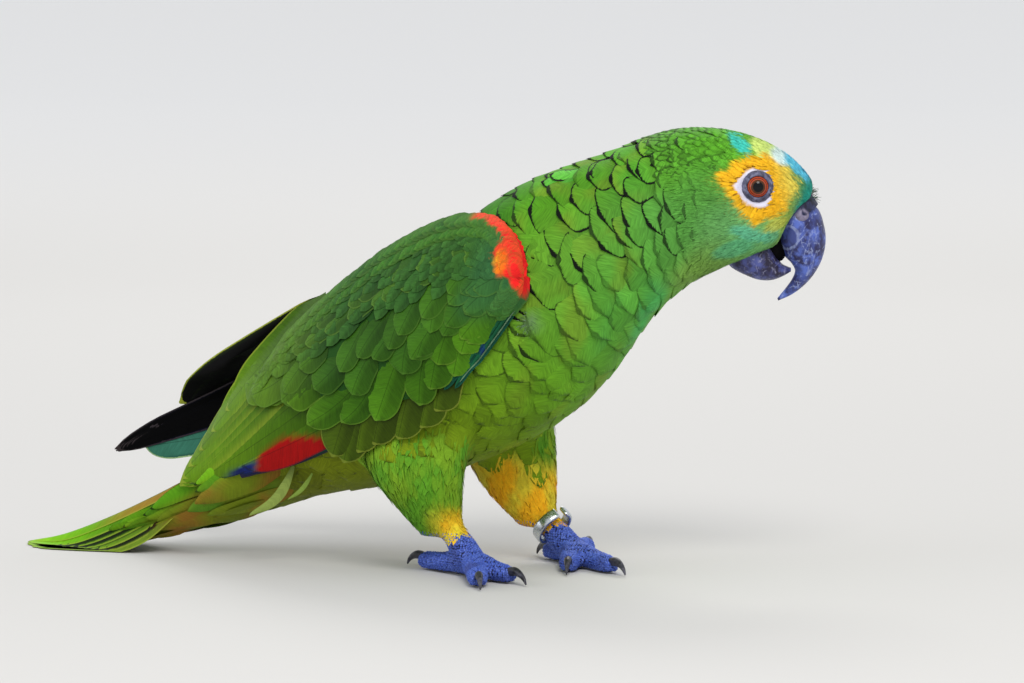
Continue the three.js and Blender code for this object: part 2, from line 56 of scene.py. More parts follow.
# Upper and lower outline of the body from the tail coverts to the face, [x, z] each, half the
# width, and how far the section lies to the left.
BODY = [
    ((-131, 23), (-128, 11), 8, 0), ((-110, 40), (-99, 15.5), 15, 0), ((-85, 65), (-73, 24), 25, 0),
    ((-62, 88), (-44, 28.5), 33, 0), ((-39, 109), (-14, 37), 38.5, 0), ((-14, 129), (17.5, 52), 41, 0),
    ((5, 142.3), (36.5, 67.5), 39, 0.5), ((20.5, 149.3), (51, 86.5), 34, 1.5),
    ((36, 154.5), (62, 100), 28.5, 4), ((51, 161), (73, 109), 25, 7.5), ((65, 165), (82, 113.5), 22.5, 11.7),
    ((79.5, 164.6), (91, 115.5), 20, 16.4), ((94, 160.4), (98, 119.5), 17, 20.8),
    ((105.5, 152.8), (104, 126), 13, 24.3), ((112.4, 143.2), (109.5, 132), 7.5, 26.9),
]
# Pieces in the head's own plane, [ahead, up]: upper edge, lower edge, half the width.
UPPER_BILL = [
    ((17, 0), (9, -8), 7.5), ((28.8, -3.4), (14.8, -10.8), 8.8), ((31.8, -10.4), (15.6, -16.5), 8.6),
    ((32.4, -16.2), (17.6, -21.4), 7.6), ((31.2, -22.4), (20.2, -24.2), 6.2),
    ((28.2, -28.2), (21.4, -26.8), 4.7), ((24.6, -32.3), (20.4, -29.8), 3.5),
    ((20.2, -35.6), (18.2, -33), 2.1), ((15.3, -37.9), (15, -37), 0.5),
]
LOWER_BILL = [
    ((6, -11), (-7, -19), 7.2), ((12.2, -15.4), (-2.4, -25.2), 8), ((14.2, -18.6), (3.2, -28.4), 7.9),
    ((15.2, -21.8), (8.4, -30.2), 7.2), ((16.6, -24.2), (13.2, -30.2), 6.2),
    ((18.4, -25.2), (17, -28.8), 4.6), ((19.9, -25.8), (19.8, -27.2), 2.6),
]
CERE = [((18, 4.2), (13, -7), 8.6), ((26.4, 2), (17.2, -8.6), 9.4), ((29.8, -2.2), (20.6, -8.8), 8.6)]
MOUTH_LINING = [((15, -9), (5, -14), 4.5), ((16.4, -13), (8.6, -18.4), 5.6), ((17.6, -17), (11.6, -22), 5.2),
                ((18.2, -19.4), (14.4, -23.4), 4.0), ((18.0, -21.2), (16.4, -23.2), 2.2)]
# A lid's section, [distance from the eye's axis, height over the ball's middle]: inner edge, lip, slope and back.
LID = [(3.85, 3.45), (3.86, 3.95), (4.1, 4.22), (4.45, 4.25), (4.9, 3.95), (5.35, 3.4), (5.75, 2.7), (5.9, 2.0),
       (5.0, 1.6), (4.2, 2.6)]

# The right wing seen from its side, [x, z].
PAD_UPPER = [(24, 113), (19, 125), (6, 133.3), (-13, 132.5), (-35, 123.5), (-62, 104.5), (-83, 86), (-92, 72)]
PAD_LOWER = [(24, 113), (22.6, 104), (14.8, 92), (5.5, 79.5), (-4.5, 69), (-27, 62), (-62, 60), (-92, 72)]
FLANK = {"start": (45, 112), "end": (-160, 8), "widest": 43.5, "widest_at": 52, "tallest": 49, "tallest_at": 45}
LEFT_WING = {"about": (-40, 40, 95), "raise": 18, "outward": 8, "shift": (12, 2.5, -4)}

TAIL = {
    "root": -84, "reach": 0.925, "feathers": 12, "arch": 0.033, "roll": 0.72,
    "ridge": [(0, 47), (45, 28.5), (62, 20.5), (84, 10.8), (104, 3.6), (119, 0.45)], "half": (11, 21),
}
LEGS = {
    "right": {
        "thigh": [((-27, -20, 62), 23, 15), ((-26, -25, 47), 21.5, 15), ((-24, -26, 34), 17.5, 13.5),
                  ((-20.8, -24.5, 26), 13.6, 11), ((-18.6, -23, 18.5), 9.6, 8.5), ((-18.8, -22.5, 14), 5, 4)],
        "ankle": (-12.5, -22.5, 17.5), "palm": (-1.5, -27.5, 5.0),
        "toes": {1: (113, 20), 2: (-33, 25), 3: (-64, 32), 4: (150, 31)},
    },
    "left": {
        "thigh": [((-10, 20, 58), 21, 15), ((-9, 25, 44), 19, 15), ((-6, 26, 31), 16, 13),
                  ((-2.5, 25, 23.5), 13, 10.5), ((0.6, 24, 17.5), 9.2, 8), ((1.5, 23.5, 13), 4.4, 4)],
        "ankle": (7.5, 22.5, 15.5), "palm": (19.5, 18.5, 5.0),
        "toes": {1: (139, 20), 2: (-72, 25), 3: (-40, 32), 4: (101, 31)},
    },
}
CLAW = 9.5
CLAW_PATH = [(-0.25, 4.3, 1.75), (0.2, 4.9, 1.65), (0.55, 4.1, 1.2), (0.8, 2.5, 0.75), (0.92, 0.8, 0.3)]
FLOOR_GAP = 0.45  # the lowest that a tail feather's upper side lies
# A tuft of grey down by the near wing's edge.
TUFT_AT, TUFT = (25.2, -39.0, 95.6), (112, 138, 112)


# ------------------------------------------------------------------ small tools
bell = dice.standard_normal


def unit(v):
    return v / np.maximum(np.linalg.norm(v, axis=-1, keepdims=True), 1e-9)


def smooth(x, low, high):
    t = np.clip((np.asarray(x, float) - low) / (high - low), 0, 1)
    return t * t * (3 - 2 * t)


def paint(red, green, blue):
    """A colour from its screen values, 0 to 255."""
    c = np.array((red, green, blue)) / 255
    return np.where(c <= 0.04045, c / 12.92, ((c + 0.055) / 1.055) ** 2.4)


def as_colour(c):
    """A tuple stands for a paint's screen values; an array is a colour already."""
    return paint(*c) if isinstance(c, tuple) else np.asarray(c)


def mix(a, b, share):
    a = as_colour(a)
    return a + (as_colour(b) - a) * np.asarray(share)[..., None]


def rim(colour, strength):
    """A rim's colour and strength, for one feather or for each."""
    colour, strength = as_colour(colour), np.asarray(strength, float)[..., None]
    shape = np.broadcast_shapes(colour.shape[:-1], strength.shape[:-1])
    return np.concatenate([np.broadcast_to(colour, (*shape, 3)), np.broadcast_to(strength, (*shape, 1))], -1)


def each(a, n):
    """One value for each of n feathers, ready to spread over their grids."""
    return np.broadcast_to(a, n)[:, None, None]


def wobble(p, size, seed=0.0):
    """A soft uneven value from -1 to 1 that changes over about this size."""
    q = np.asarray(p) / size
    x, y, z = q[..., 0] + seed, q[..., 1] - seed, q[..., 2] + 2 * seed
    return (np.sin(2.1 * x + 1.7 * y) + np.sin(1.9 * z - 2.3 * x + 1) + np.sin(2.7 * y + 1.3 * z + 2)
            + 0.6 * np.sin(4.3 * x + 3.1 * z) * np.sin(3.7 * y - 1.1 * z)) / 3.2


def spline(points, t):
    """The curve through points, as the maker's drawing makes it, at t from 0 to 1."""
    p = np.asarray(points, float)
    last = len(p) - 1
    s = np.clip(np.asarray(t, float), 0, 1) * last
    i = np.minimum(s.astype(int), last - 1)
    w = (s - i)[..., None]
    q = np.vstack([2 * p[0] - p[1], p, 2 * p[-1] - p[-2]])
    p0, p1, p2, p3 = q[i], q[i + 1], q[i + 2], q[i + 3]
    step = [np.sqrt(np.linalg.norm(b - a, axis=-1, keepdims=True)) for a, b in ((p0, p1), (p1, p2), (p2, p3))]
    d1 = np.where(step[1] < 1e-4, 1, step[1])
    d0, d2 = (np.where(step[k] < 1e-4, d1, step[k]) for k in (0, 2))
    m1 = ((p1 - p0) / d0 - (p2 - p0) / (d0 + d1) + (p2 - p1) / d1) * d1
    m2 = ((p2 - p1) / d1 - (p3 - p1) / (d1 + d2) + (p3 - p2) / d2) * d1
    return ((2 * w**3 - 3 * w**2 + 1) * p1 + (w**3 - 2 * w**2 + w) * m1 + (3 * w**2 - 2 * w**3) * p2
            + (w**3 - w**2) * m2)


def outlines(sections):
    """Upper edge and lower edge of sections as [x, 0, z] lines, and the half widths."""
    return ([(s[0][0], 0, s[0][1]) for s in sections], [(s[1][0], 0, s[1][1]) for s in sections],
            [(s[2],) for s in sections])


COS, SIN = math.cos(HEAD_TURN), math.sin(HEAD_TURN)


def out_of_head(p):
    """From the head's own frame (ahead, left, up) to the drawing."""
    p = np.asarray(p, float)
    return np.stack([COS * p[..., 0] - SIN * p[..., 1], SIN * p[..., 0] + COS * p[..., 1], p[..., 2]], -1) + HEAD_AT


def into_head(p):
    """(ahead, distance from the middle plane, up) of points in the drawing."""
    d = np.asarray(p) - HEAD_AT
    return COS * d[..., 0] + SIN * d[..., 1], np.abs(COS * d[..., 1] - SIN * d[..., 0]), d[..., 2]


def eye_centre(sign):
    """The middle of an eyeball in the head's own frame; sign is -1 on the right and 1 on the left."""
    return np.array((EYE["ahead"], sign * EYE["out"], EYE["up"]))


def eye_axis(sign):
    return unit(np.array((0.05, sign * 1.0, 0.03)))


eye_low, eye_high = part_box("eye_right")
SHIFT = np.array((eye_low + eye_high) / 2) / MM - out_of_head(eye_centre(-1))


def placed(p):
    return (np.asarray(p, float) + SHIFT) * MM


def toward_head(p):
    return p[..., 0] + 0.22 * p[..., 2]


def head_share(p):
    """0 on the neck and 1 on the head."""
    return smooth(toward_head(p), 84, 100)


def foot_share(p):
    """1 on the bare feet, 0 on everything feathered."""
    return (1 - smooth(p[..., 2], 13.5, 16.5)) * smooth(p[..., 0], -50, -46)


# ------------------------------------------------------------------ the body's own surface
LAST = len(BODY) - 1
TOPS = [(s[0][0], s[3], s[0][1]) for s in BODY]
BOTTOMS = [(s[1][0], s[3], s[1][1]) for s in BODY]
TURNS = [(s[2], HEAD_TURN * float(smooth(i, 6, 10))) for i, s in enumerate(BODY)]


def body_point(place, around):
    """place counts the sections from 0 at the tail; around is 0 on the back and a quarter turn on the left."""
    top, bottom, half = (spline(line, place / LAST) for line in (TOPS, BOTTOMS, TURNS))
    side = np.stack([-np.sin(half[..., 1]), np.cos(half[..., 1]), 0 * half[..., 0]], -1) * half[..., :1]
    return (top + bottom) / 2 + (top - bottom) / 2 * np.cos(around)[..., None] + side * np.sin(around)[..., None]


def corners_of(grid, turned=False):
    """The four corners of each cell of a grid of numbers."""
    ways = [np.s_[:-1, :-1], np.s_[:-1, 1:], np.s_[1:, 1:], np.s_[1:, :-1]]
    return np.stack([grid[way].ravel() for way in (ways[:1] + ways[:0:-1] if turned else ways)], 1)


def closest(tree, points, faces, at, softness):
    """Each place's nearest spot on a mesh, the corners of the face it lies on, and how much each of them counts."""
    hits = [tree.find_nearest(p) for p in np.asarray(at).reshape(-1, 3).tolist()]
    spot = np.array([h[0][:] for h in hits])
    corners = faces[np.array([h[2] for h in hits])]
    gap = np.linalg.norm(points[corners] - spot[:, None], axis=2)
    return spot, corners, 1 / (gap**2 + softness)


class Surface:
    """A closed surface that feathers are laid on, in the drawing's millimetres."""

    def __init__(self, points, faces):
        self.points, self.faces = points, faces
        self.tree = BVHTree.FromPolygons(points.tolist(), faces.tolist())
        a, b, c, d = (points[faces[:, k]] for k in range(4))
        flat = np.cross(c - a, d - b)
        normals = np.zeros_like(points)
        for k in range(4):
            for axis in range(3):
                normals[:, axis] += np.bincount(faces[:, k], flat[:, axis], len(points))
        self.normals = unit(normals)

    def nearest(self, at):
        spot, corners, share = closest(self.tree, self.points, self.faces, at, 0.05)
        normal = unit((self.normals[corners] * share[..., None]).sum(1))
        return spot.reshape(np.shape(at)), normal.reshape(np.shape(at))


FLESH = ["trunk", "rump", "neck", "head", "thigh_right", "thigh_left", "foot_right", "foot_left"]
BRIDGE = 0.3  # how far each piece of flesh grows, to close the parting gaps
VOXEL = 1.15
# How far the skin lies under the coat's outside.
SKIN_DEPTH = {"body": 2.0, "head": 1.15, "bare": 0.4, "feet": 0.5}


def remeshed_flesh():
    """Points and faces of the flesh and the eyes, joined into one mesh."""
    joined = bmesh.new()
    for name in (*FLESH, "eye_right", "eye_left"):
        part = bmesh.new()
        part.from_mesh(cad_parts[name].data)
        bmesh.ops.remove_doubles(part, verts=part.verts, dist=1e-6)
        for v in part.verts:
            v.co += v.normal * BRIDGE * MM
        copy = bpy.data.meshes.new("part")
        part.to_mesh(copy)
        joined.from_mesh(copy)
        part.free()
        bpy.data.meshes.remove(copy)
    mesh = bpy.data.meshes.new("flesh")
    joined.to_mesh(mesh)
    joined.free()
    rough = bpy.data.objects.new("flesh", mesh)
    bpy.context.scene.collection.objects.link(rough)
    remesh = rough.modifiers.new("one_skin", "REMESH")
    remesh.mode, remesh.voxel_size = "VOXEL", VOXEL * MM
    whole = bpy.data.meshes.new_from_object(rough.evaluated_get(bpy.context.evaluated_depsgraph_get()))
    bpy.data.objects.remove(rough)
    points = np.empty(len(whole.vertices) * 3)
    whole.vertices.foreach_get("co", points)
    faces = np.empty(len(whole.polygons) * 4, int)
    whole.loops.foreach_get("vertex_index", faces)
    return points.reshape(-1, 3) / MM - SHIFT, faces.reshape(-1, 4)


def outer_shell(points, faces):
    """Only the largest of a mesh's separate shells."""
    label = np.arange(len(points))
    while True:
        low = label[faces].min(1)
        new = label.copy()
        for k in range(4):
            np.minimum.at(new, faces[:, k], low)
        new = new[new]
        if (new == label).all():
            break
        label = new
    faces = faces[label[faces[:, 0]] == np.bincount(label).argmax()]
    used = np.unique(faces)
    order = np.zeros(len(points), int)
    order[used] = np.arange(len(used))
    return points[used], order[faces]


def skin_surface(rounds=42):
    """The flesh nodes as one closed surface, rounded, but less so on the feet and round the eyes."""
    points, faces = outer_shell(*remeshed_flesh())
    edges = np.vstack([faces[:, [k, (k + 1) % 4]] for k in range(4)])
    edges = np.unique(np.sort(edges, axis=1), axis=0)
    both = np.vstack([edges, edges[:, ::-1]])
    count = np.bincount(both[:, 0], minlength=len(points))
    strong = 1 - 0.85 * foot_share(points)
    eye = np.minimum(*(np.linalg.norm(points - out_of_head(eye_centre(s)), axis=1) for s in (-1, 1)))
    strong *= smooth(eye, 4, 8) * 0.9 + 0.1
    for _ in range(rounds):
        mean = np.stack([np.bincount(both[:, 0], points[both[:, 1], k], len(points)) for k in range(3)], 1)
        points = points + (mean / count[:, None] - points) * 0.5 * strong[:, None]
    return Surface(points, faces)


# ------------------------------------------------------------------ markings
GREENS = [  # [x, z] in side view, and the plumage there
    ((62, 160), (76, 152, 26)), ((30, 152), (78, 148, 22)), ((-5, 135), (58, 122, 26)),
    ((-60, 92), (84, 146, 28)), ((-110, 38), (84, 138, 24)), ((62, 138), (72, 140, 50)),
    ((44, 126), (88, 138, 36)), ((74, 118), (94, 162, 62)), ((58, 106), (84, 162, 60)),
    ((46, 92), (84, 158, 54)), ((30, 98), (98, 148, 32)), ((28, 74), (96, 152, 28)),
    ((8, 84), (92, 136, 28)), ((4, 60), (112, 148, 24)), ((-18, 46), (118, 142, 20)),
    ((-50, 38), (108, 122, 16)), ((-80, 28), (106, 116, 18)), ((-118, 18), (98, 112, 20)),
]
HEAD_GREENS = [  # [ahead, up] on the head
    ((-12, 22), (84, 158, 36)), ((-26, 14), (82, 148, 40)), ((-12, 4), (80, 144, 54)),
    ((-22, -6), (80, 144, 58)), ((-6, -8), (98, 158, 88)), ((4, -13), (104, 178, 112)),
    ((-4, -22), (118, 162, 68)), ((10, -12), (112, 180, 106)), ((18, -7), (172, 188, 66)),
    ((4, 20), (96, 172, 44)), ((24, 0), (66, 140, 92)),
]
HEAD_SPOTS = [  # centre, radii and turn of an oval on the head, its paint and its share
    ((4.0, -11.6), (7.0, 2.6), -0.3, (96, 186, 150), 0.75), ((-1.6, -17.4), (7.5, 3.2), 0.3, (84, 178, 132), 0.6),
    ((12.0, -12.6), (4.0, 3.0), 0.6, (92, 184, 150), 0.6), ((13.8, -8.8), (4.6, 2.2), 0.5, (196, 198, 84), 0.8),
    ((9.6, 18.8), (5.4, 2.9), -0.5, (208, 230, 124), 1.0),
]
FACE_CENTRE = (7.0, 5.4)
FACE_PATCH = [(-9.3, 8.7), (-5, 11.4), (-1.9, 14.4), (1.2, 15.8), (6, 16.6), (13, 16.2), (16.8, 14.2), (19.6, 11.4),
              (21.4, 8.4), (22.6, 5.6), (21.4, 2.2), (19.2, -0.6), (16.8, -4.4), (13.7, -6), (9.8, -6.8),
              (5.9, -9), (3.6, -6.8), (0.5, -3.5), (-2.7, 1.3), (-5.8, 5.2)]
BARE_PATCH = [(-1.2, 6.0), (1.3, 8.9), (3.2, 11.0), (7.4, 12.2), (12.2, 11.3), (14.5, 5.8), (13.5, 0.0),
              (9.2, -1.9), (6.0, -1.5), (3.4, -0.2), (0.9, 3.0)]
BLACK = (10, 16, 10)  # the rims of scalloped feathers


def outline_reach(patch, ahead, up):
    """How far out of its outline a point lies: 0 in the middle, 1 on the outline."""
    corners = np.array(patch, float) - FACE_CENTRE
    angles = np.arctan2(corners[:, 1], corners[:, 0])
    order = np.argsort(angles)
    dx, dz = ahead - FACE_CENTRE[0], up - FACE_CENTRE[1]
    reach = np.interp(np.arctan2(dz, dx), angles[order], np.linalg.norm(corners, axis=1)[order], period=2 * math.pi)
    return np.hypot(dx, dz) / reach


def bare_reach(p):
    """The same for the bare skin round the eye."""
    ahead, _, up = into_head(p)
    return outline_reach(BARE_PATCH, ahead, up)


def blended(anchors, x, z, width):
    share = np.stack([np.exp(-((x - c[0]) ** 2 + (z - c[1]) ** 2) / (2 * width**2)) for c, _ in anchors], -1) + 1e-9
    share /= share.sum(-1, keepdims=True)
    return share @ np.array([paint(*colour) for _, colour in anchors])


def oval(ahead, up, centre, radii, turn):
    """1 within an oval, falling to 0 outside."""
    c, s = math.cos(turn), math.sin(turn)
    dx, dz = ahead - centre[0], up - centre[1]
    return 1 - smooth(np.hypot((c * dx + s * dz) / radii[0], (c * dz - s * dx) / radii[1]), 0.75, 1.25)


def plain(colour):
    """The same paint all over."""
    return lambda p, luck: np.broadcast_to(paint(*colour), p.shape)


def by_luck(a, b, low, high):
    """Each feather between two paints, by its own chance."""
    return lambda p, luck: mix(a, b, smooth(luck, low, high))


def head_marks(p, luck):
    ahead, _, up = into_head(p)
    colour = blended(HEAD_GREENS, ahead, up, 6.0)
    stir = wobble(p, 2.6) * 0.5 + luck
    for *place, shade, share in HEAD_SPOTS:
        colour = mix(colour, shade, share * oval(ahead + stir, up + 0.5 * stir, *place))
    turquoise = oval(ahead + 0.6 * stir, up + stir, (0.6, 20.6), (5.2, 2.0), -0.72)
    colour = mix(colour, (60, 200, 186), 0.95 * turquoise)
    face = outline_reach(FACE_PATCH, ahead, up) + 0.10 * stir
    yellow = mix((236, 180, 34), (222, 204, 84), smooth(ahead + 0.25 * up + stir, 14, 22))
    colour = mix(colour, yellow, 1 - smooth(face, 0.9, 1.07))
    colour = mix(colour, (216, 236, 232), oval(ahead + 0.5 * stir, up, (15.8, 15.8), (3.9, 2.6), -0.7))
    sky = smooth(ahead * 0.70 + up * 0.71 + 0.5 * stir, 21.2, 23.0) * smooth(ahead + 0.4 * stir, 16.2, 18.6)
    colour = mix(colour, (100, 204, 232), sky)
    return mix(colour, (38, 146, 128), smooth(ahead - 0.55 * up + 0.7 * stir, 20.6, 24.2) * smooth(ahead, 19, 22))


def body_marks(p, luck):
    """The plumage's colour at a point; luck is each feather's own chance, about -1 to 1."""
    x, z = p[..., 0], p[..., 2]
    stir = wobble(p, 9.0, 3.0) + 0.8 * luck
    belly = smooth(-z + 0.25 * x, -52, -34) * smooth(stir, 0.5, 1.3)
    olive = smooth(x, 6, 22) * smooth(0.7 * luck + wobble(p, 7.0, 9.0), -0.1, 0.9)
    grey = np.exp(-((x - TUFT_AT[0]) ** 2 + (z - TUFT_AT[2]) ** 2) / 9.0) * (p[..., 1] < 0)
    front = smooth(x - 0.45 * z, 2, 16) * smooth(z, 76, 88) * (1 - smooth(z, 104, 116))
    colour = blended(GREENS, x, z, 13.0)
    for shade, share in (((146, 128, 30), 0.5 * belly), ((112, 136, 36), 0.55 * olive), (TUFT, 0.6 * grey),
                         ((48, 182, 104), 0.5 * front * smooth(stir, -0.6, 0.6))):
        colour = mix(colour, shade, share)
    return mix(colour, head_marks(p, luck), head_share(p))


def thigh_marks(side):
    def marks(p, luck):
        x, z = p[..., 0], p[..., 2]
        colour = mix((116, 158, 36), (90, 150, 36), smooth(wobble(p, 8.0, 5.0) + luck, -0.3, 0.6))
        centre, top = (-18, 28) if side == "right" else (-4, 47)
        low = 1 - smooth(z + 3 * luck + 0.5 * (x - centre) * (side == "left"), top - 10, top)
        ahead = smooth(x - centre + 3 * luck, -3, 6) if side == "right" else 1.0
        gold = mix((222, 202, 54), (248, 184, 32), smooth(wobble(p, 6.0, 1.0) + 0.5 * luck, -0.4, 0.5))
        return mix(colour, gold, low * ahead)
    return marks


# ------------------------------------------------------------------ meshes of many feathers
def kept(name, mesh, material, stands_for=()):
    """The finished piece of a mesh, on the still body."""
    mesh.materials.append(material)
    piece = bpy.data.objects.new(name, mesh)
    bpy.context.scene.collection.objects.link(piece)
    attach(piece, "root")
    if stands_for:
        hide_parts(*stands_for)
    return piece


def mesh_piece(name, points, faces, material, colours, maps=None, values=None, crisp=None, stands_for=()):
    """One finished piece from arrays: points in the drawing's millimetres, and edges to crease between crisp ones."""
    mesh = bpy.data.meshes.new(name)
    mesh.vertices.add(len(points))
    mesh.vertices.foreach_set("co", placed(points).astype(np.float32).ravel())
    mesh.loops.add(faces.size)
    mesh.loops.foreach_set("vertex_index", faces.astype(np.int32).ravel())
    mesh.polygons.add(len(faces))
    mesh.polygons.foreach_set("loop_start", np.arange(0, faces.size, 4, dtype=np.int32))
    mesh.update(calc_edges=True)
    mesh.polygons.foreach_set("use_smooth", np.ones(len(faces), bool))
    for key, uv in (maps or {}).items():
        mesh.uv_layers.new(name=key).uv.foreach_set("vector", uv[faces.ravel()].astype(np.float32).ravel())
    for kind, field, arrays in (("FLOAT_COLOR", "color", colours), ("FLOAT", "value", values or {})):
        for key, array in arrays.items():
            mesh.attributes.new(key, kind, "POINT").data.foreach_set(field, array.astype(np.float32).ravel())
    if crisp is not None:
        ends = np.empty(len(mesh.edges) * 2, np.int32)
        mesh.edges.foreach_get("vertices", ends)
        layer = mesh.attributes.new("sharp_edge", "BOOLEAN", "EDGE")
        layer.data.foreach_set("value", crisp[ends.reshape(-1, 2)].all(1))
    if maps:
        mesh.uv_layers["vane"].active_render = True
        mesh.uv_layers.active = mesh.uv_layers["vane"]
    mesh.validate()
    return kept(name, mesh, material, stands_for)


ROUND_FROM = {"plumage": 0.5, "nape": 0.74, "quill": 0.7, "dark_quill": 0.7, "down": 0.3}


def web(v, round_from, start=0.4, wide_by=0.4):
    """A feather's half width along it, as a share of its widest."""
    rise = start + (1 - start) * smooth(v, -0.05, wide_by)
    tip = np.clip((v - round_from) / (1 - round_from), 0, 1)
    return rise * np.sqrt(np.clip(1 - tip**2, 0, 1))


class Feathers:
    """Feathers gathered for one piece. Each is a thin closed vane on a small grid of cells across and along."""

    MOST = 190000  # triangles in one piece
    SMALL = (0.003, 0.003)  # a feather's place on the map for baking

    def __init__(self, name, cells, material, slot):
        self.name, self.cells, self.material, self.slot = name, cells, material, slot
        self.round = ROUND_FROM.get(material.name, 0.5)
        self.cells_taken, self.batches = 0, []

    def grid(self, power, end, bow, bow_from, shape=None):
        """Places across (-1 to 1) and along (0 to 1), and each grid point's width and length with a bowed tip."""
        across, along = self.cells
        v = 1 - (1 - np.linspace(0, 1, along + 1)) ** power
        v[-1] = end
        u = np.linspace(-1, 1, across + 1)[:, None]
        return u, v, u * web(v, self.round, **(shape or {})), v + (1 - u**2) * smooth(v, bow_from, 1) * bow

    def add(self, top, normal, thick, across, along, width, length, tint, edge, bake_at, bake_size=SMALL,
            mirror=False, below=None, dark_rim=0.0, luck_size=0.3, uneven=0.08):
        """top: (feathers, across, along, 3); across and along: each grid point's place on its vane. tint is a colour
        for each point, or a function of each feather's luck. below is the underside's paint."""
        shape = n, wide, long = top.shape[:3]
        normal = np.broadcast_to(normal, top.shape)
        across, along = (np.broadcast_to(a, shape) for a in (across, along))
        if callable(tint):
            tint = tint(np.broadcast_to(each(bell(n) * luck_size, n), shape))
            tint = tint * (1 + uneven * bell(n))[:, None, None, None]
        if np.any(dark_rim):
            share = np.zeros(shape)
            share[:, [0, -1]] = share[:, :, [-1]] = 1
            tint = mix(tint, below, share * each(dark_rim, n))
        tint = np.clip(tint, 0, 1)
        if mirror:
            top, normal, across, along, tint = (a[:, ::-1] for a in (top, normal, across, along, tint))
        ring = np.zeros((wide, long), bool)
        ring[[0, -1], :] = ring[:, [0, -1]] = True
        inner = ~ring
        belly = (1 - np.linspace(-1, 1, wide) ** 2)[:, None] ** 0.5 * np.ones(long)
        under = top - normal * (np.reshape(thick, (-1, 1, 1)) * belly)[..., None]

        def both(a):
            return np.concatenate([a.reshape(n, wide * long, -1), a[:, inner]], axis=1)

        numbers = np.arange(wide * long).reshape(wide, long)
        hidden = numbers.copy()
        hidden[inner] = wide * long + np.arange(inner.sum())
        faces = np.concatenate([corners_of(numbers), corners_of(hidden, turned=True)])
        per = wide * long + int(inner.sum())
        points = np.concatenate([top.reshape(n, -1, 3), under[:, inner]], axis=1)
        full = np.concatenate([ring.ravel(), np.zeros(int(inner.sum()), bool)])
        spread = [np.broadcast_to(np.reshape(v, (-1, 1, 1)), shape) for v in (width, length)]
        vane = both(np.stack([across, along], -1))
        barb = both(np.stack([across * spread[0] / 2, along * spread[1]], -1))
        bake = np.asarray(bake_at)[:, None] + (vane * (0.5, 1) + (0.5, 0)) * np.asarray(bake_size)
        colour = both(np.concatenate([tint, np.ones(shape + (1,))], -1))
        if below is not None:
            colour[:, wide * long:, :3] = paint(*below)
        rims = np.broadcast_to(np.reshape(edge, (-1, 1, 4)), (n, per, 4))
        chance = np.broadcast_to(dice.random(n)[:, None], (n, per))
        self.batches.append((faces, per, full, {
            "points": points, "vane": vane, "barb": barb, "OFBake": bake, "tint": colour, "edge": rims,
            "chance": chance}))

    def finish(self, *stands_for):
        """Makes the piece, or a few of them where it has too many faces for one."""
        groups, load = [[]], 0
        for batch in self.batches:
            per_feather, n, start = 2 * len(batch[0]), len(batch[3]["points"]), 0
            while start < n:
                fit = int((self.MOST - load) // per_feather)
                if fit < 1:
                    groups.append([])
                    load = 0
                    continue
                stop = min(n, start + fit)
                groups[-1].append((batch, start, stop))
                load += (stop - start) * per_feather
                start = stop
        for number, group in enumerate(groups):
            faces, full, arrays, offset = [], [], {}, 0
            for (cells, per, on_edge, batch), first, stop in group:
                count = stop - first
                faces.append((cells[None] + (np.arange(count) * per)[:, None, None]).reshape(-1, 4) + offset)
                full.append(np.tile(on_edge, count))
                for key, array in batch.items():
                    arrays.setdefault(key, []).append(array[first:stop].reshape(count * per, -1))
                offset += count * per
            a = {key: np.concatenate(parts) for key, parts in arrays.items()}
            mesh_piece(self.name if len(groups) == 1 else f"{self.name}_{number + 1}", a["points"],
                       np.concatenate(faces), self.material, {k: a[k] for k in ("tint", "edge")},
                       {k: a[k] for k in ("vane", "barb", "OFBake")}, {"chance": a["chance"]}, np.concatenate(full),
                       stands_for if number == 0 else ())


def lay(name, root, heading, width, length, marks, edge, bake_at, depth=1.6, lift=0.0, thick=0.12, camber=0.3,
        shape=None, fray=0.0, luck_size=0.35, bend=0.0, roll=0.22, uneven=0.10):
    """Lays feathers on the body from their roots, each following it to its tip."""
    piece, n = coat[name], len(root)
    width, length, bend = (np.broadcast_to(a, n) for a in (width, length, bend))
    u, v, across_at, along_at = piece.grid(1.25, 0.99, 0.05, 0.6, shape)
    along_at = along_at - u**2 * smooth(v, 0.5, 1) * 0.03
    at, normal = outer.nearest(root)
    heading = unit(heading - normal * (heading * normal).sum(-1, keepdims=True))
    spots, sides, heads = [at], [np.cross(normal, heading)], [heading]
    for step in np.diff(v):
        turned = unit(heading + np.cross(normal, heading) * bend[:, None] * step)
        new, normal = outer.nearest(at + turned * (step * length)[:, None])
        heading = unit(new - at + turned * 0.2)
        heading = unit(heading - normal * (heading * normal).sum(-1, keepdims=True))
        at = new
        spots.append(at)
        sides.append(np.cross(normal, heading))
        heads.append(heading)
    spots, sides, heads = (np.stack(a, 1)[:, None] for a in (spots, sides, heads))
    ragged = fray * (dice.random((n, len(u), 1)) - 0.5) * smooth(v, 0.55, 1)
    spot, normal = outer.nearest(spots + sides * (across_at * each(width, n) / 2)[..., None]
                                 + heads * ((along_at - v + ragged) * each(length, n))[..., None])
    tilt = each(dice.random(n) - 0.5, n) * roll
    height = each(lift, n) * smooth(v, 0.5, 1) - each(depth, n) * (1 - v) ** 0.9
    height = height - camber * u**2 * np.sqrt(each(width, n) / 8) + tilt * u
    top = spot + normal * height[..., None]
    piece.add(top, normal, thick, across_at, along_at, width, length, lambda luck: marks(top, luck), edge, bake_at,
              luck_size=luck_size, uneven=uneven)


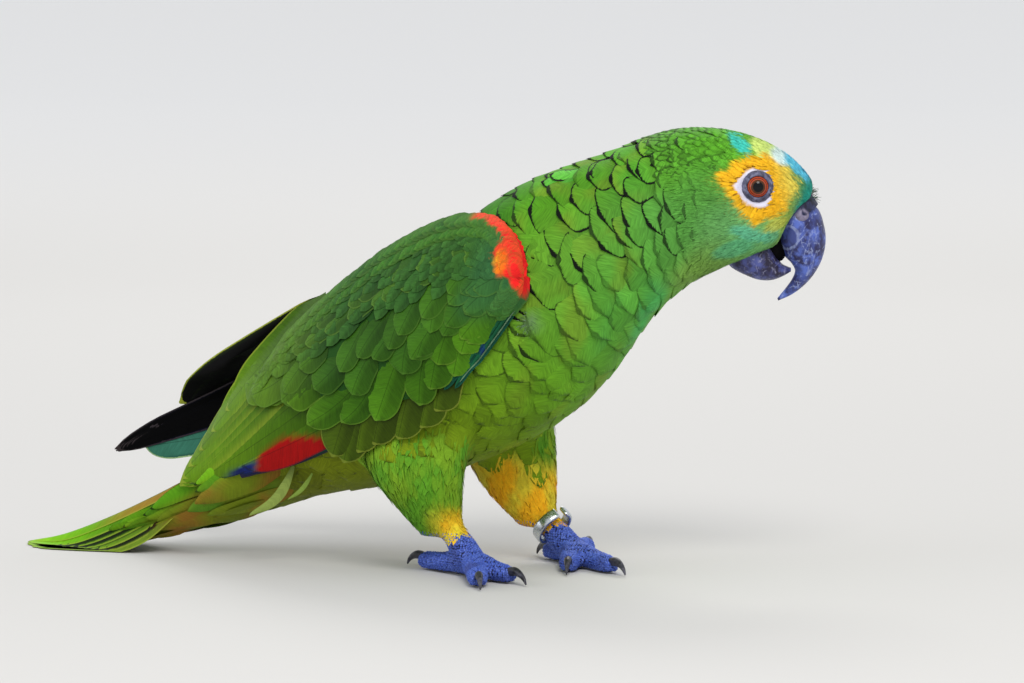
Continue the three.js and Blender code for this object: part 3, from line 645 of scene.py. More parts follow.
def loose(name, root, tip, width, out, marks, edge, bake_at, sag=0.0, curl=0.0, camber=0.3, thick=0.1, shape=None,
          fray=0.0):
    """Lays feathers that stand free, bowed from root to tip, their upper side towards out."""
    root, tip, out = (np.asarray(a, float) for a in (root, tip, out))
    piece, n = coat[name], len(root)
    width, sag, curl = (each(a, n) for a in (width, sag, curl))
    u, v, across_at, along_at = piece.grid(1.2, 0.985, 0.04, 0.6, shape)
    length = np.linalg.norm(tip - root, axis=1)
    heading = unit(tip - root)
    side = unit(np.cross(out, heading))
    over = np.cross(heading, side)
    shift = across_at * width / 2 + curl * np.sin(math.pi * v) * each(length, n)
    if fray:
        shift = shift + fray * (dice.random((n, len(u), 1)) - 0.5) * smooth(v, 0.4, 1) * width
    height = sag * np.sin(math.pi * v) - camber * u**2 * np.sqrt(width / 8)
    steps = ((heading, along_at * each(length, n)), (side, shift), (over, height))
    top = root[:, None, None] + sum(way[:, None, None] * far[..., None] for way, far in steps)
    piece.add(top, over[:, None, None], thick, across_at, along_at, width, length, lambda luck: marks(top, luck),
              edge, bake_at)


# ------------------------------------------------------------------ finishes
class Value:
    """One output of a node. Sums with it make the nodes for them."""

    def __init__(self, nodes, socket):
        self.nodes, self.socket = nodes, socket

    def __getitem__(self, output):
        return Value(self.nodes, self.socket.node.outputs[output])

    def __abs__(self):
        return self.nodes.math("ABSOLUTE", self)


for sign, operation in (("add", "ADD"), ("sub", "SUBTRACT"), ("mul", "MULTIPLY"), ("truediv", "DIVIDE")):
    setattr(Value, f"__{sign}__", lambda a, b, operation=operation: a.nodes.math(operation, a, b))
    setattr(Value, f"__r{sign}__", lambda a, b, operation=operation: a.nodes.math(operation, b, a))


class Nodes:
    """Short hands for a node tree: each gives the first output of the node that it makes."""

    def __init__(self, tree):
        self.tree = tree

    def feed(self, socket, value):
        """Three numbers for a colour are a paint's screen values; four are the colour itself."""
        if isinstance(value, Value):
            self.tree.links.new(value.socket, socket)
        else:
            socket.default_value = (*paint(*value), 1) if socket.type == "RGBA" and len(value) == 3 else value

    def put(self, kind, settings=None, **inputs):
        node = self.tree.nodes.new(kind if kind.startswith("NodeGroup") else "ShaderNode" + kind)
        for key, value in (settings or {}).items():
            setattr(node, key, value)
        for key, value in inputs.items():
            self.feed(node.inputs[int(key[1:]) if key[1:].isdigit() else key.replace("_", " ")], value)
        return Value(self, node.outputs[0]) if node.outputs else None

    def math(self, operation, *values):
        return self.put("Math", {"operation": operation}, **{f"i{k}": v for k, v in enumerate(values)})

    def hypot(self, *values):
        a, b = (value * value for value in values)
        return self.math("SQRT", a + b)

    def ramp(self, value, low, high, out_low=0.0, out_high=1.0):
        return self.put("MapRange", {"interpolation_type": "SMOOTHSTEP"}, Value=value, From_Min=low, From_Max=high,
                        To_Min=out_low, To_Max=out_high)

    def mixed(self, share, a, b, blend="MIX"):
        return self.put("Mix", {"data_type": "RGBA", "blend_type": blend}, i0=share, i6=a, i7=b)[2]

    def noise(self, vector, scale, detail=2.0, rough=0.5):
        return self.put("TexNoise", Vector=vector, Scale=scale, Detail=detail, Roughness=rough)

    def attribute(self, name):
        return self.put("Attribute", {"attribute_name": name})

    def place(self):
        return self.put("TexCoord")["Object"]


class Finish(Nodes):
    """A material, around its Principled shader."""

    def __init__(self, name, roughness, **settings):
        self.material = bpy.data.materials.new(name)
        self.material.use_nodes = True
        super().__init__(self.material.node_tree)
        self.shader = self.tree.nodes["Principled BSDF"]
        self.made(Roughness=roughness, **settings)

    def made(self, **inputs):
        for key, value in inputs.items():
            self.feed(self.shader.inputs[key.replace("_", " ")], value)
        return self.material

    def bump(self, strength, depth, height):
        return self.put("Bump", Strength=strength, Distance=depth * MM, Height=height)


def feather_detail():
    """Barbs, shaft and rim of one vane: its place on the vane, the same in millimetres, and its chance."""
    tree = bpy.data.node_groups.new("feather_detail", "ShaderNodeTree")
    kinds = {"Vane": "Vector", "Barb": "Vector", "Tint": "Color", "Rim": "Color", "Color": "Color"}
    for way, names in (("INPUT", ("Vane", "Barb", "Chance", "Tint", "Rim", "Rim Strength", "Rim Width", "Round From",
                                  "Shaft", "Streak", "Root Shade")), ("OUTPUT", ("Color", "Height"))):
        for name in names:
            tree.interface.new_socket(name=name, in_out=way, socket_type="NodeSocket" + kinds.get(name, "Float"))
    n = Nodes(tree)
    into = n.put("NodeGroupInput")
    vane, barb = (n.put("SeparateXYZ", Vector=into[name]) for name in ("Vane", "Barb"))
    off_shaft = abs(barb[0])
    lean = barb[1] - off_shaft * 0.7
    seed = into["Chance"] * 61.0
    fine = n.noise(n.put("CombineXYZ", X=lean * 2.0, Y=off_shaft * 0.26, Z=seed), 1.0, 2.0, 0.6)
    broad = n.noise(n.put("CombineXYZ", X=lean * 0.9, Y=off_shaft * 0.22, Z=seed), 1.0, 1.0, 0.5)
    streak = (fine - 0.5) + (broad - 0.5) * 0.35
    # how far inside the outline: its own formula is the vane's half width times an oval tip
    tip_part = 1.0 - into["Round From"]
    past = n.math("MAXIMUM", (vane[1] - into["Round From"]) / tip_part, 0.0)
    aside = abs(vane[0])
    reach = n.hypot(aside, past)
    half_width = (off_shaft + 0.0001) / (aside + 0.0001)
    tip_length = tip_part * (barb[1] / n.math("MAXIMUM", vane[1], 0.01))
    steep = n.hypot(aside / half_width, past / n.math("MAXIMUM", tip_length, 0.01))
    inside = (1.0 - reach) * reach / n.math("MAXIMUM", steep, 0.0001)
    uneven = inside + streak * (into["Rim Width"] * 1.5)
    rim_share = n.ramp(uneven, into["Rim Width"] * 0.7, into["Rim Width"] * 1.3, 1.0, 0.0) * into["Rim Strength"]
    shaft = n.ramp(off_shaft, 0.06, 0.24, 1.0, 0.0) * into["Shaft"]
    # painted shade: each vane darkens towards its root, where the feathers over it shade it; Root Shade sets how dark
    # it gets
    base = n.ramp(vane[1], 0.15, 0.72, into["Root Shade"], 1.0)
    bright = (1.0 + streak * into["Streak"]) * base * (1.0 - shaft)
    colour = n.mixed(1.0, into["Tint"], n.put("CombineXYZ", X=bright, Y=bright, Z=bright), "MULTIPLY")
    n.put("NodeGroupOutput", Color=n.mixed(rim_share, colour, into["Rim"]), Height=fine * 0.7 + shaft * 0.6)
    return tree


DETAIL = feather_detail()


def feather_finish(name, rim_width, shaft, streak, root_shade, roughness, bump, shine=0.08):
    n = Finish(name, roughness, Sheen_Weight=0.25 * shine, Sheen_Roughness=0.4, Specular_IOR_Level=shine)
    vane, barb = (n.put("UVMap", {"uv_map": key}) for key in ("vane", "barb"))
    edge = n.attribute("edge")
    look = n.put("Group", {"node_tree": DETAIL}, Vane=vane, Barb=barb, Chance=n.attribute("chance")["Fac"],
                 Tint=n.attribute("tint"), Rim=edge, Rim_Strength=edge["Alpha"], Rim_Width=rim_width,
                 Round_From=ROUND_FROM[name], Shaft=shaft, Streak=streak, Root_Shade=root_shade)
    return n.made(Base_Color=look, Normal=n.bump(bump, 0.12, look["Height"]))


PLUMAGE, NAPE = (feather_finish(name, 0.9, 0.03, 1.15, 0.74, 0.62, 0.5) for name in ("plumage", "nape"))
QUILL = feather_finish("quill", 0.5, 0.4, 0.75, 0.78, 0.5, 0.4)
DARK_QUILL = feather_finish("dark_quill", 0.5, 0.4, 0.6, 0.7, 0.6, 0.35, 0.03)
DOWN = feather_finish("down", 0.15, 0.0, 0.6, 0.9, 0.7, 0.3)


def skin_finish():
    n = Finish("skin_under_feathers", 0.75, Specular_IOR_Level=0.3)
    tint, place = n.attribute("tint"), n.place()
    dark = n.ramp(n.noise(place, 900.0, 3.0), 0.3, 0.7, 0.0, 0.35) * tint["Alpha"]
    return n.made(Base_Color=n.mixed(dark, tint, (0.02, 0.02, 0.03, 1)),
                  Normal=n.bump(0.5, 0.25, n.noise(place, 1800.0)))


# Scars on the bill, in the head's own plane: centre, radii and turn of an oval, its line's width, and how firm it is.
SCARS = [((18.8, -14.2), (3.6, 4.2), 0.2, 0.17, 0.6), ((22.0, -20.0), (2.0, 9.5), 0.5, 0.10, 0.12),
         ((27.4, -19.0), (1.3, 8.0), 0.1, 0.16, 0.12)]


def worn_oval(n, place, centre, radii, turn, wide):
    """1 on the line of a worn oval in the head's own plane, and 1 within it."""
    part = n.put("SeparateXYZ", Vector=n.put(
        "Mapping", {"vector_type": "TEXTURE"}, Vector=place, Rotation=(0, turn, HEAD_TURN),
        Location=tuple(placed(out_of_head((centre[0], 0, centre[1])))), Scale=(radii[0] * MM, 1, radii[1] * MM)))
    out = n.hypot(part[0], part[2])
    return n.ramp(abs(out - 1.0), wide * 0.3, wide, 1.0, 0.0), n.ramp(out, 0.75, 0.95, 1.0, 0.0)


def horn_finish(name, base, deep, bright, pale, gloss, scale=1.0, scratched=0.0, worn=False, shine=0.3):
    """Old layered horn: mottled, with flakes, pale scratches and scars."""
    n = Finish(name, gloss, Coat_Weight=0.4 * shine, Coat_Roughness=0.3, Specular_IOR_Level=shine)
    place = n.place()
    swirl = n.put("Mapping", Vector=place, Rotation=(0.3, 0.4, 0.35), Scale=(1.0, 1.0, 0.55))
    mottle = n.noise(swirl, 230.0 * scale, 4.0, 0.62)
    patches = n.noise(place, 150.0 * scale, 3.0, 0.6)
    flakes = n.noise(swirl, 620.0 * scale, 4.0, 0.7)
    colour = n.mixed(n.ramp(patches, 0.5, 0.66), n.mixed(n.ramp(mottle, 0.36, 0.62), deep, base), bright)
    height = mottle + flakes * 0.6
    if scratched:
        shaken = n.put("VectorMath", {"operation": "SUBTRACT"}, i1=(0.5, 0.5, 0.5),
                       i0=n.put("TexNoise", Vector=place, Scale=240.0, Detail=2.0)["Color"])
        bent, slightly = (n.put("VectorMath", {"operation": "ADD"}, i0=place, i1=n.put(
            "VectorMath", {"operation": "SCALE"}, i0=shaken, Scale=by)) for by in (0.006, 0.0022))
        cracks = n.put("TexVoronoi", {"feature": "DISTANCE_TO_EDGE"}, Vector=bent, Scale=170.0)
        fine = n.noise(swirl, 1300.0, 3.0, 0.7)
        pale_share = n.math("MAXIMUM", n.ramp(cracks["Distance"], 0.012, 0.05, 1.0, 0.0) * n.ramp(flakes, 0.44, 0.6),
                            n.ramp(fine, 0.56, 0.72) * n.ramp(patches, 0.42, 0.62, 0.0, 0.8))
        for *scar, firm in SCARS:
            line, within = worn_oval(n, slightly, *scar)
            line = line * (n.ramp(fine, 0.4, 0.58, firm, 1.0) * n.ramp(mottle, 0.4, 0.55, firm, 1.0))
            if firm > 0.5:
                pale_share = pale_share * (1.0 - within)
                colour = n.mixed(within * 0.25, colour, deep)
            pale_share = n.math("MAXIMUM", pale_share, line)
        pale_share = pale_share * scratched
        colour = n.mixed(pale_share, colour, pale)
        height = height + pale_share * 0.8
    if worn:
        colour = n.mixed(n.attribute("worn")["Fac"] * n.ramp(flakes, 0.3, 0.6, 0.5, 0.95), colour, pale)
    return n.made(Base_Color=colour, Roughness=n.ramp(patches, 0.3, 0.7, gloss - 0.08, gloss + 0.16),
                  Normal=n.bump(0.5, 0.2, height))


def eye_finish():
    n = Finish("eye", 0.08, Coat_Weight=0.3, Coat_Roughness=0.02, IOR=1.33, Specular_IOR_Level=0.2)
    part = n.put("SeparateXYZ", Vector=n.put("UVMap", {"uv_map": "iris"}))
    out = n.hypot(part[0], part[1])
    rays = n.noise(n.put("CombineXYZ", X=part[0] / out, Y=part[1] / out, Z=out * 0.12), 9.0, 3.0)
    brown, red = (n.mixed(rays, *pair) for pair in (((40, 20, 12), (104, 62, 34)), ((158, 50, 28), (206, 92, 52))))
    colour = n.mixed(n.ramp(out, 2.5, 2.8), brown, red)
    ring = n.ramp(out, 2.9, 3.05) * n.ramp(out, 3.2, 3.35, 1.0, 0.0)
    pupil = n.ramp(out, EYE["pupil"] - 0.05, EYE["pupil"] + 0.2, 1.0, 0.0)
    for share, shade in ((ring, (92, 34, 24)), (n.ramp(out, 3.6, 3.85), (70, 20, 20)), (pupil, (2, 3, 8)),
                         (n.ramp(out, EYE["iris"], EYE["iris"] + 0.2), (30, 28, 36))):
        colour = n.mixed(share, colour, shade)
    return n.made(Base_Color=colour)


def steel_finish():
    n = Finish("ring_steel", 0.22, Metallic=1.0)
    scuffs = n.noise(n.put("Mapping", Vector=n.place(), Scale=(1, 1, 5)), 1500.0, 3.0)
    return n.made(Base_Color=n.mixed(scuffs, (176, 186, 196), (226, 230, 234)),
                  Roughness=n.ramp(scuffs, 0.35, 0.75, 0.16, 0.42))


def scale_finish():
    n = Finish("foot_scales", 0.6, Specular_IOR_Level=0.3)
    dust = n.noise(n.place(), 2600.0, 3.0)
    colour = n.mixed(n.ramp(dust, 0.5, 0.85, 0.0, 0.3), n.attribute("tint"), (150, 162, 226))
    return n.made(Base_Color=colour, Normal=n.bump(0.3, 0.08, dust))


# ------------------------------------------------------------------ the skin
outer = skin_surface()


def skin_depth(p):
    """How far the skin lies under the coat's outside at each point."""
    on_head = head_share(p)
    depth = SKIN_DEPTH["body"]
    for place, share in (("head", on_head), ("bare", (1 - smooth(bare_reach(p), 0.9, 1.3)) * on_head),
                         ("feet", foot_share(p))):
        depth = depth + (SKIN_DEPTH[place] - depth) * share
    return depth


def clear_of_eyes(points):
    """Keeps the skin under the rim of each lid."""
    for sign in (-1, 1):
        axis = out_of_head(eye_axis(sign)) - HEAD_AT
        from_eye = points - out_of_head(eye_centre(sign))
        high = from_eye @ axis
        off = np.linalg.norm(from_eye - high[:, None] * axis, axis=1)
        most = np.interp(off, [4.6, 5.3, 6.0, 7.2, 9.0], [1.9, 2.1, 2.75, 3.3, 9.0])
        points = points - axis * (np.maximum(high - most, 0) * ((high > 0) & (off < 9)))[:, None]
    return points


def make_skin():
    p = outer.points
    # painted shade: the skin takes the plumage's colour at half its brightness, so the gaps between feathers show as
    # shaded feather bases; under the thighs it takes 0.7 of theirs
    shade = body_marks(p, 0) * 0.5
    for side, leg in LEGS.items():
        centre = leg["thigh"][2][0]
        near = 1 - smooth(np.hypot(p[:, 0] - centre[0], p[:, 1] - centre[1]), 17, 21)
        shade = mix(shade, thigh_marks(side)(p, 0) * 0.7, near * (1 - smooth(p[:, 2], 40, 52)))
    on_head = head_share(p)
    bare = (1 - smooth(bare_reach(p), 0.98, 1.12)) * on_head
    # on the head the painted shade is lifted, so the skin there is as bright as the plumage; the bare ring round the
    # eye keeps its own pale colour
    shade = mix(shade * (1 + on_head[:, None]), (222, 220, 240), bare)
    shade = mix(shade, (26, 28, 66), foot_share(p))
    points = clear_of_eyes(p - outer.normals * skin_depth(p)[:, None])
    mesh_piece("skin", points, outer.faces, skin_finish(),
               {"tint": np.concatenate([shade, 1 - bare[:, None]], 1)}, stands_for=FLESH)


make_skin()

# ------------------------------------------------------------------ the coat
coat = {name: Feathers(f"coat_{name}", cells, material, "plumage") for name, cells, material in (
    ("head", (2, 3), DOWN), ("crown", (4, 6), PLUMAGE), ("neck", (8, 9), NAPE), ("body", (8, 9), PLUMAGE),
    ("thighs", (4, 6), DOWN), ("fringe", (2, 5), DOWN), ("vent", (6, 12), DOWN))}


def along_body(steps=421):
    """The distance along the body at each place, measured on its surface."""
    places = np.linspace(0, LAST, steps)
    lines = [body_point(places, np.full(steps, a)) for a in (0, 1.57, 3.14, 4.71)]
    lengths = np.mean([np.linalg.norm(np.diff(line, axis=0), axis=1) for line in lines], 0)
    return places, np.concatenate([[0], np.cumsum(lengths)])


PLACES, REACHED = along_body()


def rows(start, end, pitch, count, jitter=0.16, scatter=0.02):
    """Staggered rows of roots from start back to end: root, heading, and [place, angle round] of each. pitch is the
    step between two rows, count the feathers round."""
    found = []
    at, stop = np.interp((start, end), PLACES, REACHED)
    while at > stop:
        place = float(np.interp(at, REACHED, PLACES))
        around = (np.arange(count) + 0.5 * (len(found) % 2) + jitter * bell(count)) / count * 2 * math.pi
        p = place + scatter * bell(count)
        root = body_point(p, around)
        found.append((root, unit(body_point(p - 0.08, around) - root), np.stack([p, np.mod(around, 2 * math.pi)], 1)))
        at -= pitch(place) if callable(pitch) else pitch
    return [np.concatenate(part) for part in zip(*found)]


def chosen(found, keep=None, near=2.6):
    """Only the roots that lie on the body and pass the test."""
    root, heading, spots = found
    at, _ = outer.nearest(root)
    good = np.linalg.norm(at - root, axis=1) < near
    if keep:
        good &= keep(at, spots)
    return at[good], heading[good], spots[good]


def body_bake(spots):
    return np.stack([0.04 + 0.92 * spots[:, 1] / (2 * math.pi), 0.04 + 0.92 * spots[:, 0] / LAST], 1)


def clear_of_bare_skin(p, reach):
    return (bare_reach(p) > reach) | (toward_head(p) < 90)


NAPE_FROM = 6.5  # the place where the neck's feathers start


def pitch_at(place):
    return float(np.interp(place, [0, 3, 5, 6.4, NAPE_FROM, 8, 9, 10.5], [8.0, 7.4, 7.0, 7.0, 7.2, 6.4, 4.8, 3.4]))


def lay_body():
    for name, start, end, count, fray, bow in (("neck", 10.5, NAPE_FROM, 17, 0.02, 0.2),
                                               ("body", NAPE_FROM, 0.1, 23, 0.06, 0.4)):
        root, heading, spots = chosen(rows(start, end, pitch_at, count, 0.24, 0.07))
        (place, around), n = spots.T, len(spots)
        width = np.interp(place, [0, 3, 5, 6.4, 6.6, 8, 9, 10.5], [14, 16.5, 18.5, 18.5, 25, 22, 17, 11])
        length = np.interp(place, [0, 3, 5, 7, 9, 10.5], [25, 23, 22, 20.5, 15, 10.5])
        strength = np.interp(place, [0, 4, 5.5, 7, 9, 10.5], [0.1, 0.3, 0.7, 1.1, 1.1, 0.5])
        strength = strength * np.interp(np.cos(around), [-1, -0.6, -0.1, 1], [0.15, 0.4, 1.0, 1.0])
        strength = np.clip(strength * (1 + 0.25 * bell(n)), 0.02, 1)
        heading = heading + 0.1 * bell(heading.shape)
        lift = 0.04 + 0.12 * np.abs(bell(n)) * np.interp(place, [5, 8], [0.4, 1.0])
        lay(name, root, heading, width * (1 + 0.12 * bell(n)), length, body_marks, rim(BLACK, strength),
            body_bake(spots), depth=1.0, lift=lift, thick=0.08, camber=0.2, fray=fray, bend=bow * bell(n), roll=0.14,
            shape={"start": 0.4, "wide_by": 0.5})
    # one bright feather of the nape lies out of place, over another
    at, _ = outer.nearest(np.array([(37.0, -11.0, 151.5), (33.0, -14.5, 149.0)]))
    lay("neck", at, np.array([(-1.0, -0.35, -0.25), (-1.0, -0.2, -0.3)]), [8.5, 7.5], [15.0, 13.0],
        plain((92, 182, 58)), rim(BLACK, 1.0), np.array([(0.8, 0.6), (0.82, 0.58)]), depth=0.4, lift=[1.0, 0.7],
        thick=0.08, bend=[-0.5, -0.3])
    # grey down shows between the feathers by the wing's edge
    n = 60
    at, _ = outer.nearest(np.array(TUFT_AT) + bell((n, 3)) * (1.3, 0.6, 1.2))
    lay("fringe", at, np.array((-0.5, 0.0, -1.0)) + 0.8 * bell((n, 3)), 0.22, dice.uniform(2.0, 4.2, n),
        by_luck((84, 124, 56), TUFT, -0.4, 0.4), np.zeros(4), np.full((n, 2), 0.93), depth=0.3, lift=0.3, thick=0.05,
        camber=0.02, shape={"start": 0.6})


def lay_head():
    def face(at, spots):
        crown = np.cos(spots[:, 1]) > 0.52
        return clear_of_bare_skin(at, 1.02) & ~(crown & (spots[:, 0] < 11.4))

    def crown(at, spots):
        return (np.cos(spots[:, 1]) > 0.42) & clear_of_bare_skin(at, 1.4)

    root, heading, spots = chosen(rows(13.95, 9.5, 1.05, 146, 0.3), face, near=1.6)
    n = len(root)
    _, out, _ = into_head(root)
    near_eye = np.exp(-np.maximum(bare_reach(root) - 1, 0) / 0.3)
    away = unit(root - out_of_head(np.stack(
        [np.full(n, EYE["ahead"]), np.where(root[:, 1] > 6, 1, -1) * out, np.full(n, EYE["up"])], 1)))
    heading = unit(heading + away * (1.5 * near_eye)[:, None] + 0.14 * bell(heading.shape))
    small = smooth(spots[:, 0], 11.5, 13.6)
    length = (6.2 - 3.0 * small) * (1 - 0.4 * near_eye) * (1 + 0.12 * bell(n))
    lay("head", root, heading, 1.15 - 0.3 * small + 0.25 * near_eye, length, body_marks,
        rim(head_marks(root, 0) * 0.7, 0.15), body_bake(spots), depth=0.42, lift=0.02 + 0.03 * np.abs(bell(n)),
        thick=0.05, camber=0.06, luck_size=0.4, roll=0.05, shape={"start": 0.55, "wide_by": 0.3})

    root, heading, spots = chosen(rows(11.9, 9.4, 2.2, 44, 0.25, 0.03), crown, near=1.8)
    strength = np.interp(spots[:, 0], [9.6, 10.8, 12.4], [0.6, 0.25, 0.03]) + 0.15 * bell(len(root))
    lay("crown", root, heading, 4.1, 7.0, body_marks, rim(BLACK, np.clip(strength, 0, 1)), body_bake(spots), depth=0.6,
        lift=0.05, thick=0.07, camber=0.12, roll=0.1)


def lay_bristles(n=54):
    """Short dark bristles that stand forward over the cere."""
    side = dice.uniform(-6.0, 6.0, n)
    level = dice.uniform(-1.5, 3.4, n)
    root = np.stack([27.6 - 0.04 * side**2 - 0.35 * level + dice.uniform(-1.2, 0.2, n), side, level], 1)
    way = unit(np.stack([np.full(n, 1.0), 0.07 * side, 0.35 + 0.3 * bell(n)], 1) + 0.16 * bell((n, 3)))
    tip = root + way * dice.uniform(2.2, 3.9, n)[:, None]
    loose("fringe", out_of_head(root), out_of_head(tip), 0.42, np.broadcast_to((0.0, -0.2, 1.0), root.shape),
          by_luck((20, 40, 30), (60, 110, 78), -0.3, 0.6), np.zeros(4), np.full((n, 2), 0.97), sag=0.25, camber=0.02,
          shape={"start": 0.7, "wide_by": 0.3})


def vent_marks(p, luck):
    warm = smooth(luck + 0.9 * wobble(p, 11.0, 2.0), 0.0, 0.9)
    colour = mix(mix((106, 122, 24), (136, 100, 34), warm), (80, 140, 36),
                 0.7 * smooth(-luck - 0.9 * wobble(p, 9.0, 5.0), 0.1, 0.8))
    high = smooth(p[..., 2] - 0.5 * (p[..., 0] + 130), 15, 22)
    return mix(colour, mix((72, 128, 16), (106, 162, 24), smooth(luck, -0.4, 0.4)), high)


def lay_vent(n=60):
    """Long soft coverts under the tail, each a little apart, and a few loose ones."""
    layer = np.arange(n) % 3
    around = math.pi + np.linspace(-1.65, 1.65, n) + 0.1 * bell(n)
    place = np.array([0.4, 1.0, 1.7])[layer] + 0.2 * bell(n)
    root, normal = outer.nearest(body_point(place, around))
    low = 0.5 + 0.5 * np.cos(around - math.pi)
    tip = np.stack([-149 - 6 * low + 3 * bell(n), root[:, 1] * 0.72,
                    np.interp(low, [0, 1], [18.5, 3.6]) + 1.2 * bell(n)], 1)
    tip = root + (tip - root) * np.array([1.0, 0.72, 0.5])[layer][:, None]
    upper = smooth(np.abs(around - math.pi), 1.2, 1.5)
    # the upper ones get darker, firmer rims, painted shade of the gaps between them
    loose("vent", root - normal * 0.9, tip, dice.uniform(8.5, 12.5, n) * (1 - 0.35 * upper), normal, vent_marks,
          rim(mix((84, 92, 26), (10, 22, 6), upper), 0.2 + 0.7 * upper),
          body_bake(np.stack([np.full(n, 0.5), np.mod(around, 2 * math.pi)], 1)),
          sag=np.array([0.9, 1.1, 1.2])[layer] * (1 - 0.7 * upper), curl=0.05 * bell(n), camber=0.6, fray=0.03)
    # two pale ones that have come out of place, a hooked one among them
    loose("vent", [(-74.4, -25.0, 37.5), (-67.0, -24.5, 35.0)], [(-92.0, -25.0, 18.6), (-76.5, -25.0, 25.0)],
          [4.0, 1.8], [(-0.2, -1.0, -0.3)] * 2, by_luck((104, 138, 44), (136, 154, 76), -0.3, 0.3),
          rim((100, 120, 50), 0.3), [(0.5, 0.3), (0.52, 0.3)], sag=1.2, curl=[0.14, 0.1])


def thigh_rows(side, pitch, count):
    sections = LEGS[side]["thigh"]
    centre, size = [s[0] for s in sections], [s[1:] for s in sections]
    steps = int(52 / pitch)
    found = []
    for k in range(steps):
        around = (np.arange(count) + 0.5 * (k % 2) + 0.2 * bell(count)) / count * 2 * math.pi
        level = np.full(count, (k + 0.5) / steps) + 0.01 * bell(count)

        def at(t):
            c, r = spline(centre, t), spline(size, t)
            return c + np.stack([r[:, 0] * np.cos(around), r[:, 1] * np.sin(around), 0 * around], 1)

        root = at(level * 0.86)
        found.append((root, unit(at(level * 0.86 + 0.04) - root), np.stack([level, np.mod(around, 2 * math.pi)], 1)))
    return [np.concatenate(part) for part in zip(*found)]


def lay_thighs():
    for side in ("right", "left"):
        marks = lambda p, luck: mix(thigh_marks(side)(p, luck), body_marks(p, luck), smooth(p[..., 2], 50, 66))
        for name, pitch, count, width, near_skin, lengths, depth, lift, stray_lift, camber in (
                ("thighs", 2.7, 24, 4.6, 16.5, [6.5, 9.5, 13.0], 0.8, 0.03, 0.03, 0.08),
                ("fringe", 2.6, 38, 0.75, 15.5, [4.5, 7.5, 9.5], 0.6, 0.06, 0.16, 0.03)):
            root, heading, spots = chosen(thigh_rows(side, pitch, count), lambda at, s: at[:, 2] > near_skin, near=4.5)
            bake = np.stack([0.04 + 0.9 * spots[:, 1] / (2 * math.pi),
                             0.04 + 0.44 * spots[:, 0] + 0.5 * (side == "left")], 1)
            edge = rim(marks(root, np.zeros(len(root))) * 0.85, 0.2)
            lift = lift + stray_lift * np.abs(bell(len(root)))
            lay(name, root, heading + 0.12 * bell(heading.shape), width, np.interp(root[:, 2], [16, 24, 40], lengths),
                marks, edge, bake, depth=depth, lift=lift, fray=0.12, thick=0.06, camber=camber, roll=0.03,
                luck_size=0.16, uneven=0.05, shape={"start": 0.55, "wide_by": 0.3})


lay_body()
lay_head()
lay_thighs()
lay_bristles()
lay_vent()
for part in coat.values():
    part.finish()


# ------------------------------------------------------------------ wings
def flank(x, z):
    """How far the wing's own surface stands out from the body's middle plane."""
    start, end = np.array(FLANK["start"]), np.array(FLANK["end"])
    line = unit((end - start).astype(float))
    dx, dz = x - start[0], z - start[1]
    along, above = dx * line[0] + dz * line[1], -dz * line[0] + dx * line[1]
    width = FLANK["widest"] * (1 - ((along - FLANK["widest_at"]) / 178) ** 2)
    height = np.maximum(14, FLANK["tallest"] * (1 - ((along - FLANK["tallest_at"]) / 160) ** 2))
    level = np.where(above > 0, above / height, above / (1.6 * height))
    return np.maximum(9, width * (1 - np.where(above > 0, 0.68, 0.45) * np.minimum(1.3, level * level)))


def pad_at(t, down):
    """[x, z] on the shoulder's pad: t from the bend back, down from its upper edge to its lower."""
    a, b = spline(PAD_UPPER, t), spline(PAD_LOWER, t)
    return a + (b - a) * np.asarray(down)[..., None]


class Relief:
    """How far the shoulder's pad stands out of the wing's own surface, rounded at its free edges."""

    def __init__(self, columns=80, rows=44):
        t, down = np.meshgrid(np.linspace(0.004, 0.996, columns), np.linspace(0, 1, rows), indexing="ij")
        at = pad_at(t, down)
        lines = np.linspace(0, 1, 120)
        edge = np.concatenate([spline(PAD_UPPER, lines), spline(PAD_LOWER, lines[:50])])
        gap = np.min(np.linalg.norm(at[..., None, :] - edge, axis=-1), axis=-1)
        rounded = np.sqrt(1 - (1 - np.clip(gap / 6.0, 0, 1)) ** 2)
        swell = 4.6 + 5.6 * np.sin(math.pi * t) * np.cos(math.pi * (down - 0.5))
        self.high = (-3.8 + swell * rounded).ravel()
        self.points = upright(at[..., 0], at[..., 1]).reshape(-1, 3)
        self.faces = corners_of(np.arange(columns * rows).reshape(columns, rows))
        self.tree = BVHTree.FromPolygons(self.points.tolist(), self.faces.tolist())

    def at(self, x, z):
        _, corners, share = closest(self.tree, self.points, self.faces, upright(x, z), 0.02)
        return ((self.high[corners] * share).sum(1) / share.sum(1)).reshape(x.shape)


def upright(x, z):
    """Points of the middle plane."""
    return np.stack([x, 0 * x, z], -1)


def wing_pose():
    about, shift = Vector(LEFT_WING["about"]), Vector(LEFT_WING["shift"])
    turn = Matrix.Rotation(-math.radians(LEFT_WING["outward"]), 4, "Z") @ Matrix.Rotation(
        math.radians(LEFT_WING["raise"]), 4, "Y")
    return np.array(Matrix.Translation(about + shift) @ turn @ Matrix.Translation(-about)
                    @ Matrix.Diagonal((1, -1, 1, 1)))


RELIEF = Relief()
LEFT_POSE = wing_pose()


def wing_point(side, x, z, off):
    p = np.stack([x, -(flank(x, z) + off), z], -1)
    return p if side == "right" else p @ LEFT_POSE[:3, :3].T + LEFT_POSE[:3, 3]


def wing_outward(side):
    n = np.array((0.0, -1.0, 0.0))
    return n if side == "right" else LEFT_POSE[:3, :3] @ n


def atlas(piece, n, columns=8, rows=8):
    """Corners of the next n cells of a piece's map, and a cell's size."""
    k = np.arange(piece.cells_taken, piece.cells_taken + n)
    piece.cells_taken += n
    corner = np.stack([(k % columns + 0.06) / columns, (k // columns + 0.04) / rows], 1)
    return corner, (0.88 / columns, 0.92 / rows)


